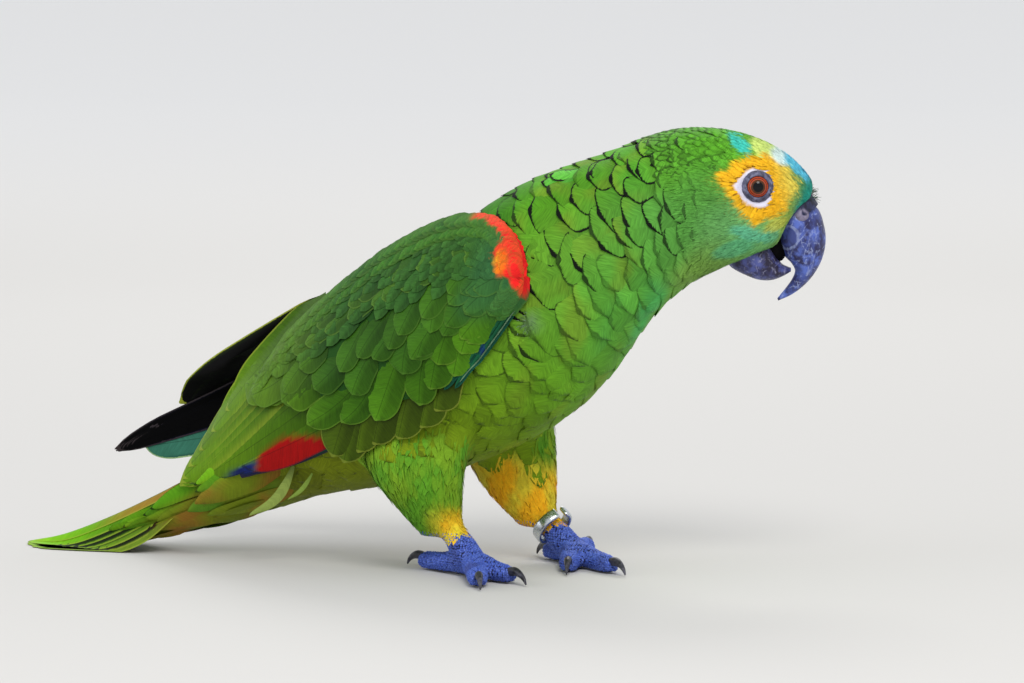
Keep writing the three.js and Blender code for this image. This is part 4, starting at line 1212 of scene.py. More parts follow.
def fly(piece, side, root, tip, width, offsets, style, edge, bake=None, hug=0.0, bend=0.0, roll=0.35, camber=0.45,
        thick=0.35, shape=None, below=None, fray=0.0, dark_rim=0.0):
    """Lays feathers on a wing, each from root to tip in the wing's own side view. offsets are a feather's heights
    over the wing's surface at its root and tip, hug how far it follows the shoulder's pad."""
    n = len(root)
    width, bend, first, last = (each(a, n) for a in (width, bend, *offsets))
    u, v, across_at, along_at = piece.grid(1.2, 0.996, 0.02, 0.7, shape or {"start": 0.3, "wide_by": 0.35})
    length = np.linalg.norm(tip - root, axis=1)
    heading = (tip - root) / length[:, None]
    over = np.stack([heading[:, 1], -heading[:, 0]], 1)
    drift = np.sin(math.pi * 0.9 * v) * bend * each(length, n)
    place = (root[:, None, None] + heading[:, None, None] * (along_at * each(length, n))[..., None]
             + over[:, None, None] * (across_at * width / 2 + drift)[..., None])
    if fray:
        place += over[:, None, None] * (fray * bell(place.shape[:3]) * smooth(v, 0.3, 1))[..., None]
    x, z = place[..., 0], place[..., 1]
    tilt = each(roll * (1 + 0.3 * bell(n)), n)
    off = first + (last - first) * v + hug * (RELIEF.at(x, z) if hug else 0.0)
    top = wing_point(side, x, z, off - camber * u**2 * np.sqrt(width / 10) - tilt * u)
    order = each((np.arange(n) + 0.5) / n, n) + 0 * x
    corner, size = bake if bake is not None else atlas(piece, n)
    piece.add(top, wing_outward(side), thick, across_at, along_at, width, length,
              lambda luck: style(across_at + 0 * x, along_at + 0 * x, x, z, order, luck), edge, corner, size,
              mirror=side == "right", below=below, dark_rim=dark_rim)


def bend_marks(colour, x, z, luck):
    """Red along the bend of the wing, with a yellow spot behind it."""
    lines = np.linspace(0, 1, 90)
    edge = np.concatenate([spline(PAD_UPPER, lines[:38])[::-1], spline(PAD_LOWER, lines[:22])])
    gap = np.min(np.hypot(x[..., None] - edge[:, 0], z[..., None] - edge[:, 1]), axis=-1)
    stir = 1.0 * luck + 0.8 * wobble(upright(x, z), 3.0)
    wide = np.interp(z, [105, 107, 110, 112, 114, 118, 122, 125, 127, 129, 132],
                     [0.4, 1.4, 3.4, 5.0, 8.6, 8.6, 7.4, 4.2, 3.2, 2.7, 2.2])
    red = (1 - smooth(gap + stir, wide - 0.4, wide + 0.4)) * smooth(x, -6, 0) * smooth(z, 104, 107)
    yellow = 1 - smooth(np.hypot((x - 15.4) / 2.8, (z - 117.4) / 4.4) + 0.3 * stir, 0.7, 1.1)
    colour = mix(mix(colour, (232, 36, 34), red), (230, 98, 20), yellow)
    return mix(colour, (226, 158, 34), yellow * smooth(-x + stir, -15.2, -13.4))


def covert_style(deep, light, bend=True):
    def style(u, v, x, z, order, luck):
        colour = mix(deep, light, smooth(v, 0.45, 1.0) * 0.6 + 0.4 * smooth(luck, -0.3, 0.3))
        # painted shade: one side of each covert is darkened to 0.62 of its colour, fading out near the bend
        colour = mix(colour, colour * 0.62, smooth(-u, 0.05, 0.3) * (1 - smooth(x, -10, 10)))
        blue = smooth(x - 0.35 * z + 9 * wobble(upright(x, z), 14.0), -44, -26) * smooth(z, 92, 104)
        colour = mix(mix(colour, (36, 84, 60), 0.5 * blue), (98, 134, 28), 0.6 * smooth(-x, 50, 92))
        return bend_marks(colour, x, z, luck) if bend else colour
    return style


def teal_style(u, v, x, z, order, luck):
    blue = 1 - smooth(np.hypot((x - 8.6 + 0.3 * (86 - z)) / 1.8, (z - 86) / 5.0) * 2, 0.6, 1.1)
    return mix(mix((12, 62, 48), (22, 84, 50), smooth(u, -0.4, 0.6)), (24, 40, 110), 0.9 * blue)


def secondary_style(u, v, x, z, order, luck):
    """Green, with a red patch on the outer ones and blue behind it."""
    colour = mix((64, 102, 10), (94, 134, 16), smooth(v, 0.4, 1.0))
    colour = mix(colour, (146, 162, 48), 0.7 * smooth(-u, 0.3, 0.85) * smooth(order, 0.35, 0.6))
    outer_ones = 1 - smooth(order, 0.3, 0.4)
    behind = 1 - smooth(x - 0.3 * (z - 40), -89, -86)
    below_red = (1 - smooth(z - 0.7 * x + 4 * luck, 101, 104)) * (1 - smooth(z + 2 * luck, 48, 50.5))
    blue = behind * smooth(x + 0.4 * z, -92, -84) * (1 - smooth(z - 0.4 * x, 73.8, 75.4))
    return mix(mix(colour, (150, 9, 9), outer_ones * (1 - behind) * below_red), (20, 34, 96), outer_ones * blue)


def far_style(u, v, x, z, order, luck):
    """The other wing from above: green webs, with painted shade darkening their inner half."""
    return mix(secondary_style(u, v, x, z, order, luck), (14, 20, 16), 0.85 * smooth(u, -0.1, 0.3))


def primary_style(u, v, x, z, order, luck):
    colour = mix((22, 34, 62), (24, 42, 96), smooth(-u, 0.0, 0.8))
    colour = mix(colour, (44, 110, 70), smooth(-u, 0.45, 0.85) * (1 - smooth(v, 0.5, 0.8)))
    return mix(colour, (56, 50, 52), smooth(v, 0.86, 0.97))


def shown_last_style(u, v, x, z, order, luck):
    return mix((18, 56, 48), (48, 104, 88), smooth(v, 0.6, 0.95))


def pale_line_style(u, v, x, z, order, luck):
    return np.broadcast_to(paint(*PALE_LINE), (*x.shape, 3))


PALE_LINE = (118, 158, 122)
FANS = {  # lines of roots and of tips, [x, z] from the lowest feather up, and how many feathers
    "right": {
        "tips": ([(-1, 86), (-16, 82), (-32, 82), (-42, 84)],
                 [(-7, 65), (-19, 54), (-36, 48.5), (-48, 41.5), (-58, 40.5)], 7),
        "secondaries": ([(-24, 68), (-40, 80), (-53, 90), (-62, 97), (-66, 100)],
                        [(-90, 38.5), (-108, 34), (-124, 28), (-123, 31), (-115, 43), (-103, 60)], 11),
        "primaries": ([(-14, 70), (-26, 80), (-36, 88)], [(-88, 39), (-104, 33), (-121, 29.5), (-118, 35)], 7),
    },
    "left": {
        "tips": ([(1, 84), (-26, 80), (-50, 84), (-68, 90)], [(-4, 62), (-22, 52), (-45, 42), (-64, 42), (-88, 46)], 9),
        "secondaries": ([(-26, 76), (-42, 84), (-56, 90), (-74, 95)],
                        [(-89, 42), (-106, 34), (-120, 27), (-129, 21), (-137, 24.5)], 10),
        "primaries": ([(-46, 94), (-50, 98), (-54, 102)], [(-146, 5), (-150.5, 1), (-153.5, -1.2), (-155, -0.5)], 6),
    },
}


def fan_lines(side, name):
    """Roots and tips of a fan's feathers, evenly along its two lines."""
    *lines, count = FANS[side][name]
    return [spline(line, (np.arange(count) + 0.5) / count) for line in lines]


def pad_rows(down, count, length, back=0.05, t_from=0.05, t_to=0.95, stagger=0.0, wander=0.05):
    """Roots and tips of one row of coverts at a level of the pad."""
    t = t_from + (t_to - t_from) * (np.arange(count) + 0.5 * stagger + 0.12 * bell(count)) / count
    level = np.maximum(down + 0.024 * bell(count), 0.035)
    root = pad_at(t, level)
    back = back * np.interp(t, [0.12, 0.42], [2.6, 1.0])
    heading = unit(pad_at(np.clip(t + back, 0, 1), level + 0.16) - root)
    heading = unit(heading + wander * bell((count, 1)) * np.stack([heading[:, 1], -heading[:, 0]], 1))
    return root, root + heading * (length * (1 + 0.13 * bell(count)))[:, None]


def wing_bake(root):
    return np.stack([(root[:, 0] + 110) / 150, (root[:, 1] - 25) / 130], 1), Feathers.SMALL


def make_shoulder(side):
    """The shoulder under the coverts."""
    lining = Feathers(f"wing_{side}_shoulder", (30, 48), DOWN, "wing_coverts")
    x, z = np.moveaxis(pad_at(*np.meshgrid(np.linspace(0.025, 0.985, 49), np.linspace(0.03, 0.94, 31)))[None], -1, 0)
    top = wing_point(side, x, z, np.maximum(RELIEF.at(x, z) - 1.2, -3.7))
    shade = bend_marks(np.broadcast_to(paint(36, 78, 26) * 0.8, top.shape), x, z, 0.0)
    lining.add(top, wing_outward(side), 2.6, 0.0, 0.6, 1.0, 1.0, shade, np.zeros(4), [(0.05, 0.05)], (0.9, 0.9),
               mirror=side == "left", below=(110, 166, 66))
    lining.finish()


def lay_flight(side, tips, flight, large):
    """Primaries, secondaries, and the greater coverts over their roots."""
    left = side == "left"
    # the primaries' and secondaries' undersides are painted near black, a painted shadow; dark_rim spreads it onto the
    # edges of their tops
    broad, dark = {"start": 0.3, "wide_by": 0.3}, (5, 5, 6)
    roll, camber = (0.15, 0.2) if left else (0.35, 0.45)
    fly(tips, side, *fan_lines(side, "primaries"), 9.5 if left else 12.5, (-4.0, -3.5), primary_style,
        rim((72, 64, 66), 0.5), bend=-0.02, shape=broad, below=dark, roll=0.12 if left else 0.3, camber=camber,
        dark_rim=0.8)
    if left:  # one rounded feather with a pale rim shows below the others
        fly(tips, side, np.array([(-104.0, 24.0)]), np.array([(-143.0, 3.2)]), 12.5, (-3.0, -2.8), shown_last_style,
            rim((150, 182, 128), 0.9), shape=broad, roll=0.0, camber=0.1, below=(56, 112, 94))
    root, tip = fan_lines(side, "secondaries")
    n = len(root)
    highest = np.arange(n) == n - 1
    rims = np.tile(rim((168, 178, 62), 0.4), (n, 1))
    rims[:4] = rim((20, 30, 40), 0.5)
    if left:
        rims[:, 3] = np.where(highest, 0.8, 0.0)
    fly(flight, side, root, tip, 15.0, (-2.1, -1.6), far_style if left else secondary_style, rims,
        bend=np.interp(np.arange(n), [n - 5, n - 1], [-0.02, 0.01 if left else 0.03]), shape=broad, below=dark,
        roll=roll, camber=camber, dark_rim=np.where(highest, 0.2, 0.9) if left else 0.0)
    root, tip = fan_lines(side, "tips")
    n = len(root)
    fly(large, side, root, tip + (tip - root) * (0.06 * bell(n))[:, None], 17.5, (-0.6, 0.3),
        covert_style((48, 66, 8), (78, 104, 14), False), rim((134, 146, 52), 0.5), bend=0.02 + 0.03 * bell(n),
        below=(30, 50, 24), roll=0.45)


def lay_coverts(side, small, large):
    """Greater, median and lesser coverts from below upwards."""
    # on the far (left) wing the coverts' undersides are painted near black, a painted shadow
    under, last = ((16, 22, 14), 0.86) if side == "left" else (None, 0.92)
    for level, count, length, width, uneven, start, stagger, low, paints, edge, turn in (
            (0.66, 12, 26.0, 13.6, 1.4, 0.17, 0, (-1.3, 0.25),
             ((50, 94, 14), (74, 124, 20)), ((108, 144, 46), 0.36), 0.02),
            (0.50, 13, 22.5, 12.6, 1.2, 0.08, 0, (-1.2, 0.3),
             ((46, 88, 20), (64, 112, 24)), ((88, 126, 46), 0.26), 0.0),
            (0.37, 15, 19.0, 11.0, 1.2, 0.08, 1, (-1.2, 0.3),
             ((46, 88, 20), (64, 112, 24)), ((88, 126, 46), 0.26), 0.0)):
        root, tip = pad_rows(level, count, length, back=0.07, t_from=start, t_to=last, stagger=stagger, wander=0.1)
        fly(large, side, root, tip, width + uneven * bell(count), low, covert_style(*paints), rim(*edge), hug=1.0,
            bend=turn + 0.04 * bell(count), below=under)
    for row, level in enumerate((0.28, 0.21, 0.145, 0.09, 0.05)):
        root, tip = pad_rows(level, 28, 13.0, back=0.09, t_from=0.04, stagger=row % 2, wander=0.12 - 0.02 * row)
        fly(small, side, root, tip, 7.4 - 0.5 * row, (-1.0, 0.2), covert_style((40, 82, 34), (56, 102, 38)),
            rim((56, 92, 40), 0.14), wing_bake(root), hug=1.0, roll=0.1, camber=0.2, thick=0.12, fray=0.1)
    # the leading edge below the bend: a slim teal edge with a pale line along it
    for inset, start, offsets in ((0.935, 0.2, (-0.8, 0.1)), (0.975, 0.16, (-0.6, 0.35))):
        t = start + 0.042 * np.arange(6)
        root = pad_at(t, np.full(6, inset))
        heading = unit(pad_at(t + 0.12, np.full(6, inset + 0.01)) - root)
        fly(large, side, root, root + heading * 18, 2.4, offsets, teal_style, rim((26, 96, 74), 0.3), hug=0.85,
            roll=0.0, camber=0.15)
    t = 0.19 + 0.05 * np.arange(6)
    fly(large, side, pad_at(t, np.full(6, 0.99)), pad_at(t + 0.07, np.full(6, 0.99)), 0.36, (0.5, 0.55),
        pale_line_style, rim(PALE_LINE, 0.0), hug=0.85, roll=0.0, camber=0.02)


def lay_edges(side, small, large):
    """Small feathers round the pad's edge, red along the bend, longer ones along the back, and the scapulars."""
    for inset, lean in ((4.8, 0.3), (2.5, 0.06)):
        for line, last in ((PAD_UPPER, 0.93), (PAD_LOWER, 0.20)):
            n = int(56 * last) + 8
            t = np.linspace(0.005, last, n)
            p = spline(line, t)
            ahead = unit(spline(line, t + 0.05) - p)
            inward = unit(pad_at(np.maximum(t, 0.3), np.full(n, 0.5)) - p)
            heading = unit(ahead + (lean + 0.05 * bell(n))[:, None] * inward)
            root = p + inward * inset - heading * 2
            long = np.interp(t, [0.25, 0.4], [7.5, 13.0])
            fly(small, side, root, root + heading * long[:, None], np.interp(t, [0.25, 0.4], [4.2, 5.0]), (-0.7, 0.25),
                covert_style((40, 90, 30), (60, 112, 32)), rim((92, 128, 50), 0.2), wing_bake(root), hug=1.0,
                roll=0.1, camber=0.2, thick=0.12)
    for row, level in enumerate((0.25, 0.17)):
        t = 0.16 + 0.66 * (np.arange(12) + 0.5 * row + 0.25 * bell(12)) / 12
        root = pad_at(t, np.full(12, level))
        heading = unit(pad_at(np.clip(t + 0.15, 0, 1), np.full(12, level + 0.08)) - root)
        # the far wing's scapulars get the same painted shadow underneath
        fly(large, side, root, root + heading * 19.0, 8.6, (-0.5, 0.45),
            covert_style((44, 84, 26), (66, 108, 30), False), rim((98, 134, 52), 0.35), hug=0.9, bend=0.01,
            roll=0.2, camber=0.25, thick=0.2, below=(16, 22, 14) if side == "left" else None)


def make_wing(side):
    kinds = (("small_coverts", (4, 6), PLUMAGE, "wing_coverts"), ("large_coverts", (6, 14), QUILL, "wing_coverts"),
             ("secondary_quills", (8, 24), QUILL, "flight_feathers"),
             ("primary_quills", (8, 24), DARK_QUILL if side == "left" else QUILL, "wing_tips"))
    small, large, flight, tips = (Feathers(f"wing_{side}_{name}", *rest) for name, *rest in kinds)
    make_shoulder(side)
    lay_flight(side, tips, flight, large)
    lay_coverts(side, small, large)
    lay_edges(side, small, large)
    small.finish()
    large.finish(f"wing_{side}_coverts")
    flight.finish(f"wing_{side}_secondaries")
    tips.finish(f"wing_{side}_primaries")


make_wing("right")
make_wing("left")


# ------------------------------------------------------------------ tail
def tail_point(t, across, lift):
    ridge = spline(TAIL["ridge"], t)
    roll = TAIL["roll"] * smooth(t, -0.2, 0.4)
    drop = TAIL["arch"] * across**2 - roll * np.minimum(0, across) + 0.1 * np.maximum(0, across)
    room = np.maximum(0.01, ridge[..., 1] - FLOOR_GAP)
    laid = np.where(drop < 0.01, drop, (np.maximum(drop, 0.01) ** -4.0 + room**-4.0) ** -0.25)
    return np.stack([TAIL["root"] - TAIL["reach"] * ridge[..., 0], across,
                     np.maximum(ridge[..., 1] - laid + lift, FLOOR_GAP)], -1)


def tail_style(u, v, order):
    """order runs from -1 on the right to 1 on the left."""
    outerness = np.abs(order)
    start = np.interp(outerness, [0.08, 0.25, 0.42, 0.58, 0.75, 0.92], [0.4, 0.9, 0.88, 0.5, 0.88, 0.3])
    # painted shadow: most feathers get a near black band along the part of the vane that lies by its neighbour's edge,
    # standing in for the shade in the gaps between them
    gap = (1 - smooth(u * np.sign(order) - start, 0, 0.14)) * smooth(outerness, 0.1, 0.2) * smooth(v, 0.1, 0.3)
    hot = smooth(order, 0.02, 0.06) * (1 - smooth(order, 0.4, 0.6)) * (1 - gap)
    colour = mix((60, 112, 12), (122, 190, 18), smooth(v, 0.35, 0.95))
    for shade, share in (((112, 132, 36), 0.75 * smooth(-order, 0.3, 0.8)),
                         ((6, 12, 4), 0.96 * gap * (1 - 0.8 * smooth(v, 0.88, 1.0))),
                         ((176, 128, 44), 0.75 * hot * smooth(v, 0.1, 0.25) * (1 - smooth(v, 0.45, 0.7))),
                         ((150, 60, 34), 0.5 * smooth(outerness, 0.4, 0.8) * (1 - smooth(v, 0.2, 0.45))),
                         ((140, 190, 40), smooth(v, 0.86, 0.98))):
        colour = mix(colour, shade, share)
    return colour


def make_tail():
    quills = Feathers("tail_quills", (8, 28), QUILL, "tail_feathers")
    n = TAIL["feathers"]
    order = (np.arange(n) + 0.5) / n * 2 - 1
    _, _, across_at, along_at = quills.grid(1.2, 0.996, 0.012, 0.8, {"start": 0.45, "wide_by": 0.3})
    width = each(9.5 - 1.5 * np.abs(order), n)
    reach = 1 - 0.16 * np.abs(order) ** 1.6 + 0.01 * bell(n)
    order = each(order, n)
    t = np.clip(along_at * each(reach, n), 0, 1)
    narrow, wide = TAIL["half"]
    side = order * (narrow + (wide - narrow) * t - width / 2) + across_at * width / 2
    stack = 0.5 - 2.2 * np.abs(order) * smooth(t, 0.1, 0.5)
    top = tail_point(t, side, stack - 0.3 * across_at * np.sign(order) - 0.25 * across_at**2)
    quills.add(top, (0.0, 0.0, 1.0), 0.4, across_at, along_at, width, 110.0,
               tail_style(across_at, along_at, order + 0 * t), rim((150, 168, 50), 0.5), *atlas(quills, n, 4, 3),
               mirror=True, below=(78, 88, 24))
    quills.finish("tail")


make_tail()


# ------------------------------------------------------------------ bill, cere, eyes, claws, ring
def piece_of(name, bm, material, slot, *stands_for):
    """A finished piece from a bmesh whose vertices are already placed."""
    bmesh.ops.recalc_face_normals(bm, faces=bm.faces)
    for face in bm.faces:
        face.smooth = True
    mesh = bpy.data.meshes.new(name)
    bm.to_mesh(mesh)
    bm.free()
    return kept(name, mesh, material, stands_for)


def on_ball(share, around):
    """Points of a ball from shares along its axis and angles around it."""
    lat = (share - 0.5) * math.pi
    return np.stack([np.cos(lat) * np.cos(around), np.cos(lat) * np.sin(around), np.sin(lat)], 1)


def from_ball(around, rings, place):
    """A closed shape from a ball: place gives each vertex from its share along and its angle around."""
    ball = bmesh.new()
    bmesh.ops.create_uvsphere(ball, u_segments=around, v_segments=rings, radius=1)
    p = np.array([v.co[:] for v in ball.verts])
    share = 0.5 + np.arcsin(np.clip(p[:, 2], -1, 1)) / math.pi
    for v, co in zip(ball.verts, placed(place(share, np.arctan2(p[:, 1], p[:, 0])))):
        v.co = co
    return ball


def capped(share, cap):
    """The place along a shape that ends in round caps, and how far the caps narrow it there."""
    s = (share - 0.5) * (1 + 2 * cap) + 0.5
    over = np.clip(np.abs(s - 0.5) - 0.5, 0, cap) / cap
    return np.clip(s, 0, 1), np.sqrt(np.clip(1 - over**2, 0, 1))


def through(sections, cap=0.06, ridge=0.0):
    """A place function through sections of the head's own plane: upper edge, lower edge, half width."""
    lines = outlines(sections)

    def place(share, around):
        t, shrink = capped(share, cap)
        top, bottom, half = (spline(line, t) for line in lines)
        c = np.cos(around)
        p = (top + bottom) / 2 + (top - bottom) / 2 * (c * (1 + ridge * np.maximum(c, 0) ** 8) * shrink)[:, None]
        p[:, 1] += half[:, 0] * np.sin(around) * shrink
        return out_of_head(p)

    return place


def limb_place(points):
    """A round limb through [x, y, z, radius]."""
    line, radii = [p[:3] for p in points], [p[3:] for p in points]

    def place(share, around):
        t, shrink = capped(share, 0.06)
        at = spline(line, t)
        ahead = unit(spline(line, np.clip(t + 0.02, 0, 1)) - spline(line, np.clip(t - 0.02, 0, 1)))
        side = unit(np.stack([-ahead[:, 1], ahead[:, 0], 0 * t], 1))
        up = np.cross(ahead, side)
        r = spline(radii, t)[:, 0] * shrink
        return at + side * (r * 0.9 * np.sin(around))[:, None] + up * (r * np.cos(around))[:, None]

    return place


HORN = horn_finish("bill_horn", (66, 80, 150), (40, 38, 80), (88, 110, 196), (164, 176, 218), 0.4, scratched=0.6)
DARK_HORN = horn_finish("bill_horn_lower", (62, 64, 112), (32, 26, 50), (80, 88, 154), (156, 156, 186), 0.42,
                        scratched=0.55)
CERE_SKIN = horn_finish("cere_skin", (42, 46, 78), (20, 20, 40), (66, 74, 116), (142, 134, 160), 0.6, 1.6, worn=True)
CLAW_HORN = horn_finish("claw_horn", (52, 52, 62), (20, 20, 26), (80, 80, 92), (110, 110, 118), 0.38, 2.0)
# the inside of the mouth is painted near black, a painted shadow between the two halves of the bill
MOUTH = horn_finish("mouth_painted_shade", (8, 7, 10), (4, 4, 5), (14, 12, 16), (30, 26, 32), 0.8, 1.5, shine=0.04)
EYE_LOOK = eye_finish()
LID_SKIN = horn_finish("lid_skin", (88, 90, 116), (52, 52, 72), (118, 120, 148), (150, 150, 176), 0.6, 3.0)


def make_bill():
    piece_of("bill_upper_horn", from_ball(96, 128, through(UPPER_BILL, ridge=0.03)), HORN, "bill_horn", "bill_upper")
    piece_of("bill_lower_horn", from_ball(64, 64, through(LOWER_BILL)), DARK_HORN, "bill_horn", "bill_lower")
    piece_of("mouth_painted_shade", from_ball(32, 24, through(MOUTH_LINING)), MOUTH, "bill_horn")
    cere = from_ball(48, 24, through(CERE, cap=0.3))
    for sign in (-1, 1):
        centre = np.array((NOSTRIL["ahead"], sign * NOSTRIL["out"], NOSTRIL["up"]))
        hole = unit(np.array((0.45, sign * 0.85, 0.3)))

        def bump(share, around):
            n = on_ball(share, around)
            dent = np.exp(-((1 - n @ hole) / 0.07) ** 2)
            return out_of_head(centre + n * (NOSTRIL["bump"] + 0.05 - 1.3 * dent)[:, None])

        lump = from_ball(32, 24, bump)
        lump_mesh = bpy.data.meshes.new("lump")
        lump.to_mesh(lump_mesh)
        cere.from_mesh(lump_mesh)
        lump.free()
    bare = piece_of("cere_bare", cere, CERE_SKIN, "cere_skin", "cere")
    at = np.stack(into_head(np.array([v.co[:] for v in bare.data.vertices]) / MM - SHIFT), 1)
    off = np.linalg.norm(at - (NOSTRIL["ahead"], NOSTRIL["out"], NOSTRIL["up"]), axis=1) - NOSTRIL["bump"]
    pale = (1 - smooth(off, 0.1, 0.3)) * smooth(off, -0.5, -0.1)
    bare.data.attributes.new("worn", "FLOAT", "POINT").data.foreach_set("value", pale.astype(np.float32))


def make_eye(side, sign):
    centre, axis = eye_centre(sign), eye_axis(sign)
    right = unit(np.cross(axis, (0, 0, 1)))
    up = np.cross(right, axis)

    def ball(share, around):
        n = on_ball(share, around)
        bulge = 0.35 * smooth(n[:, 2], 0.78, 1.0)  # the cornea stands a little proud
        return out_of_head(centre + n @ np.array((right, up, axis)) * (EYE["ball"] + bulge - 0.2)[:, None])

    middle = placed(out_of_head(centre))
    turn_x, turn_y, turn_axis = (out_of_head(d) - HEAD_AT for d in (right, up, axis))
    shape = from_ball(64, 64, ball)
    layer = shape.loops.layers.uv.new("iris")
    for face in shape.faces:
        for loop in face.loops:
            d = (np.array(loop.vert.co) - middle) / MM
            loop[layer].uv = (float(d @ turn_x), float(d @ turn_y))
    piece_of(f"eyeball_{side}", shape, EYE_LOOK, "eye", f"eye_{side}")

    lid = bmesh.new()
    start = [lid.verts.new(placed(out_of_head(centre + right * r + axis * h))) for r, h in LID]
    edges = [lid.edges.new((a, b)) for a, b in zip(start, start[1:] + start[:1])]
    bmesh.ops.spin(lid, geom=start + edges, cent=middle, axis=turn_axis, dvec=(0, 0, 0), angle=2 * math.pi,
                   steps=72, use_merge=True, use_duplicate=False)
    for v in lid.verts:  # wrinkles the raised rim
        d = (np.array(v.co) - middle) / MM
        a, high = math.atan2(d @ turn_y, d @ turn_x), d @ turn_axis
        if high > 2.3:
            pucker = 0.022 * math.sin(9 * a + 1) * math.sin(5 * a) + 0.012 * math.sin(29 * a)
            v.co = middle + (d + (d - high * turn_axis) * pucker) * MM
    piece_of(f"eyelid_{side}", lid, LID_SKIN, "cere_skin")


def make_claws():
    for side, leg in LEGS.items():
        for number, (degrees, length) in leg["toes"].items():
            c, s = math.cos(math.radians(degrees)), math.sin(math.radians(degrees))
            path = [(leg["palm"][0] + c * (length + beyond * CLAW), leg["palm"][1] + s * (length + beyond * CLAW), z, r)
                    for beyond, z, r in CLAW_PATH]
            name = f"claw_{side}_{number}"
            piece_of(f"horn_{name}", from_ball(20, 24, limb_place(path)), CLAW_HORN, "claw_horn", name)


def make_ring(around=24, rounding=0.8):
    ankle, palm = (np.array(LEGS["left"][key]) for key in ("ankle", "palm"))
    down = unit(palm - ankle)
    at = ankle + down * RING["along"] + np.array((0, 0, RING["lift"]))
    turn = Vector((0, 1, 0)).rotation_difference(Vector(down)).to_matrix().to_4x4()
    turn = turn @ Matrix.Rotation(math.radians(RING["turned"]), 4, "Y")
    middle, thick, half = (RING["inner"] + RING["outer"]) / 2, (RING["outer"] - RING["inner"]) / 2, RING["width"] / 2
    gap = (RING["opening"] / 2 + 0.1) / middle
    squared = lambda value: math.copysign(abs(value) ** 0.55, value)
    bm = bmesh.new()
    section = []
    for k in range(around):
        a = 2 * math.pi * k / around
        r, y = middle + squared(math.cos(a)) * thick, squared(math.sin(a)) * half
        section.append(bm.verts.new((r * math.sin(gap), y, r * math.cos(gap))))
    edges = [bm.edges.new((a, b)) for a, b in zip(section, section[1:] + section[:1])]
    bmesh.ops.spin(bm, geom=section + edges, cent=(0, 0, 0), axis=(0, 1, 0), dvec=(0, 0, 0),
                   angle=2 * math.pi - 2 * gap, steps=96, use_merge=False, use_duplicate=False)
    bmesh.ops.holes_fill(bm, edges=[e for e in bm.edges if e.is_boundary], sides=around)
    for v in bm.verts:  # rounds the two ends off
        a = math.atan2(v.co.x, v.co.z) % (2 * math.pi)
        end = min(a - gap, 2 * math.pi - gap - a) * middle
        if end < rounding:
            share = max(0.05, math.sqrt(max(0.0, 1 - (1 - max(end, 0.0) / rounding) ** 2)))
            r = middle + (math.hypot(v.co.x, v.co.z) - middle) * share
            v.co = (r * math.sin(a), v.co.y * (0.6 + 0.4 * share), r * math.cos(a))
    for v in bm.verts:
        v.co = placed(np.array(turn @ v.co) + at)
    piece_of("steel_leg_ring", bm, steel_finish(), "ring_steel", "leg_ring")


def make_scales():
    """Small domed scales all over the bare feet, with the dark skin between them."""
    scales = Feathers("foot_scales", (2, 2), scale_finish(), "foot_skin")
    on_foot = foot_share(outer.points) > 0.2
    spot, normal = outer.nearest(outer.points[on_foot] + 0.12 * bell((on_foot.sum(), 3)))
    good = spot[:, 2] > 0.75
    spot, normal = spot[good], normal[good]
    n = len(spot)
    first = unit(np.cross(normal, unit(bell((n, 3)))))
    second = np.cross(normal, first)
    size = each(0.55 * (1 + 0.12 * bell(n)), n)
    u, v = np.meshgrid((-1.0, 0.0, 1.0), (-1.0, 0.0, 1.0), indexing="ij")
    middle = (u == 0) & (v == 0)
    reach = size * np.where(np.abs(u * v) > 0.5, 0.74, 1.0)
    steps = ((second, reach * u), (first, reach * v), (normal, np.where(middle, 0.14, -0.42) + 0 * size))
    grid = spot[:, None, None] + sum(way[:, None, None] * far[..., None] for way, far in steps)
    grid[..., 2] = np.maximum(grid[..., 2], 0.15)
    shade = mix((64, 94, 204), (104, 134, 238), dice.random(n))
    shade = mix(shade, (60, 66, 130), smooth(wobble(spot, 6.0), 0.1, 0.8) * 0.5)
    bake = np.mod(spot[:, :2] / (60, 120) + 0.5, 1) * 0.9 + 0.04
    # painted shade: the ring of points round each scale's middle is 0.4 as bright, for the shade in the crevices
    # between scales
    scales.add(grid, normal[:, None, None], 0.1, 0.0, 0.0, 1.0, 1.0,
               shade[:, None, None] * np.where(middle, 1.0, 0.4)[..., None], np.zeros(4), bake)
    scales.finish()


make_bill()
make_eye("right", -1)
make_eye("left", 1)
make_claws()
make_ring()
make_scales()


# ------------------------------------------------------------------ floor, light and camera
def linked(name, data, place=(0, 0, 0)):
    holder = bpy.data.objects.new(name, data)
    bpy.context.scene.collection.objects.link(holder)
    holder.location = place
    return holder


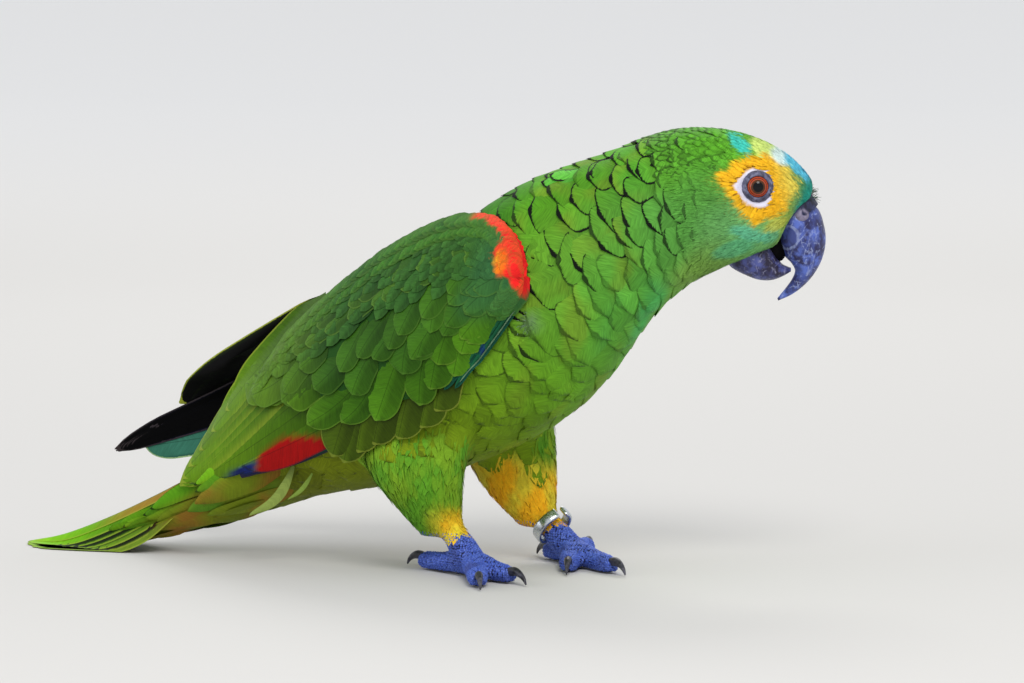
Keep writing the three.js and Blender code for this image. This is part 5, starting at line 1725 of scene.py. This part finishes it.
def make_studio():
    floor = bmesh.new()
    bmesh.ops.create_grid(floor, x_segments=1, y_segments=1, size=9)
    mesh = bpy.data.meshes.new("floor")
    floor.to_mesh(mesh)
    floor.free()
    n = Finish("pale_floor", 0.9, Specular_IOR_Level=0.1)
    part = n.put("SeparateXYZ", Vector=n.place())
    # painted shade: the floor's colour is darker near the bird and pale farther off, evening out the lamps' pool of
    # light
    away = n.ramp(n.hypot(part[0], part[1]), 1.05, 2.4)
    mesh.materials.append(n.made(Base_Color=n.mixed(away, (0.61, 0.605, 0.597, 1), (0.98, 0.98, 0.98, 1))))
    linked("floor", mesh)
    world = bpy.data.worlds.new("studio")
    world.use_nodes = True
    sky = world.node_tree.nodes["Background"].inputs
    sky[0].default_value, sky[1].default_value = (0.86, 0.87, 0.885, 1), 0.86
    bpy.context.scene.world = world
    aim = Vector((0.0, 0.0, 0.09))
    for name, place, size, power, colour in (("key", (0.75, -1.1, 1.35), 0.8, 17, (1.0, 0.97, 0.92)),
                                             ("fill", (-1.3, -0.9, 0.55), 1.0, 4, (0.92, 0.96, 1.0)),
                                             ("rim", (-0.4, 1.2, 1.2), 0.8, 9, (1.0, 0.98, 0.94))):
        lamp = bpy.data.lights.new(name, "AREA")
        lamp.shape, lamp.size, lamp.energy, lamp.color = "DISK", size, power, colour
        linked(name, lamp, place).rotation_euler = (aim - Vector(place)).to_track_quat("-Z", "Y").to_euler()
    bpy.context.scene.view_settings.view_transform = "Standard"


def make_camera():
    azimuth, elevation, distance, width = math.radians(22), math.radians(6), 3.0, 0.379
    aside, above = 2.59 * MM, 83.8 * MM  # from the drawing's origin to the middle of the picture
    right = Vector((math.cos(azimuth), math.sin(azimuth), 0))
    back = Vector((math.sin(azimuth), -math.cos(azimuth), 0)) * math.cos(elevation)
    back.z = math.sin(elevation)
    target = Vector(placed((0, 0, 0))) + right * aside + back.cross(right) * above
    camera = bpy.data.cameras.new("camera")
    camera.sensor_width, camera.lens, camera.clip_end = 36, 36 * distance / width, 50
    holder = linked("camera", camera, target + back * distance)
    holder.rotation_mode = "QUATERNION"
    holder.rotation_quaternion = back.to_track_quat("Z", "Y")
    bpy.context.scene.camera = holder


make_studio()
make_camera()
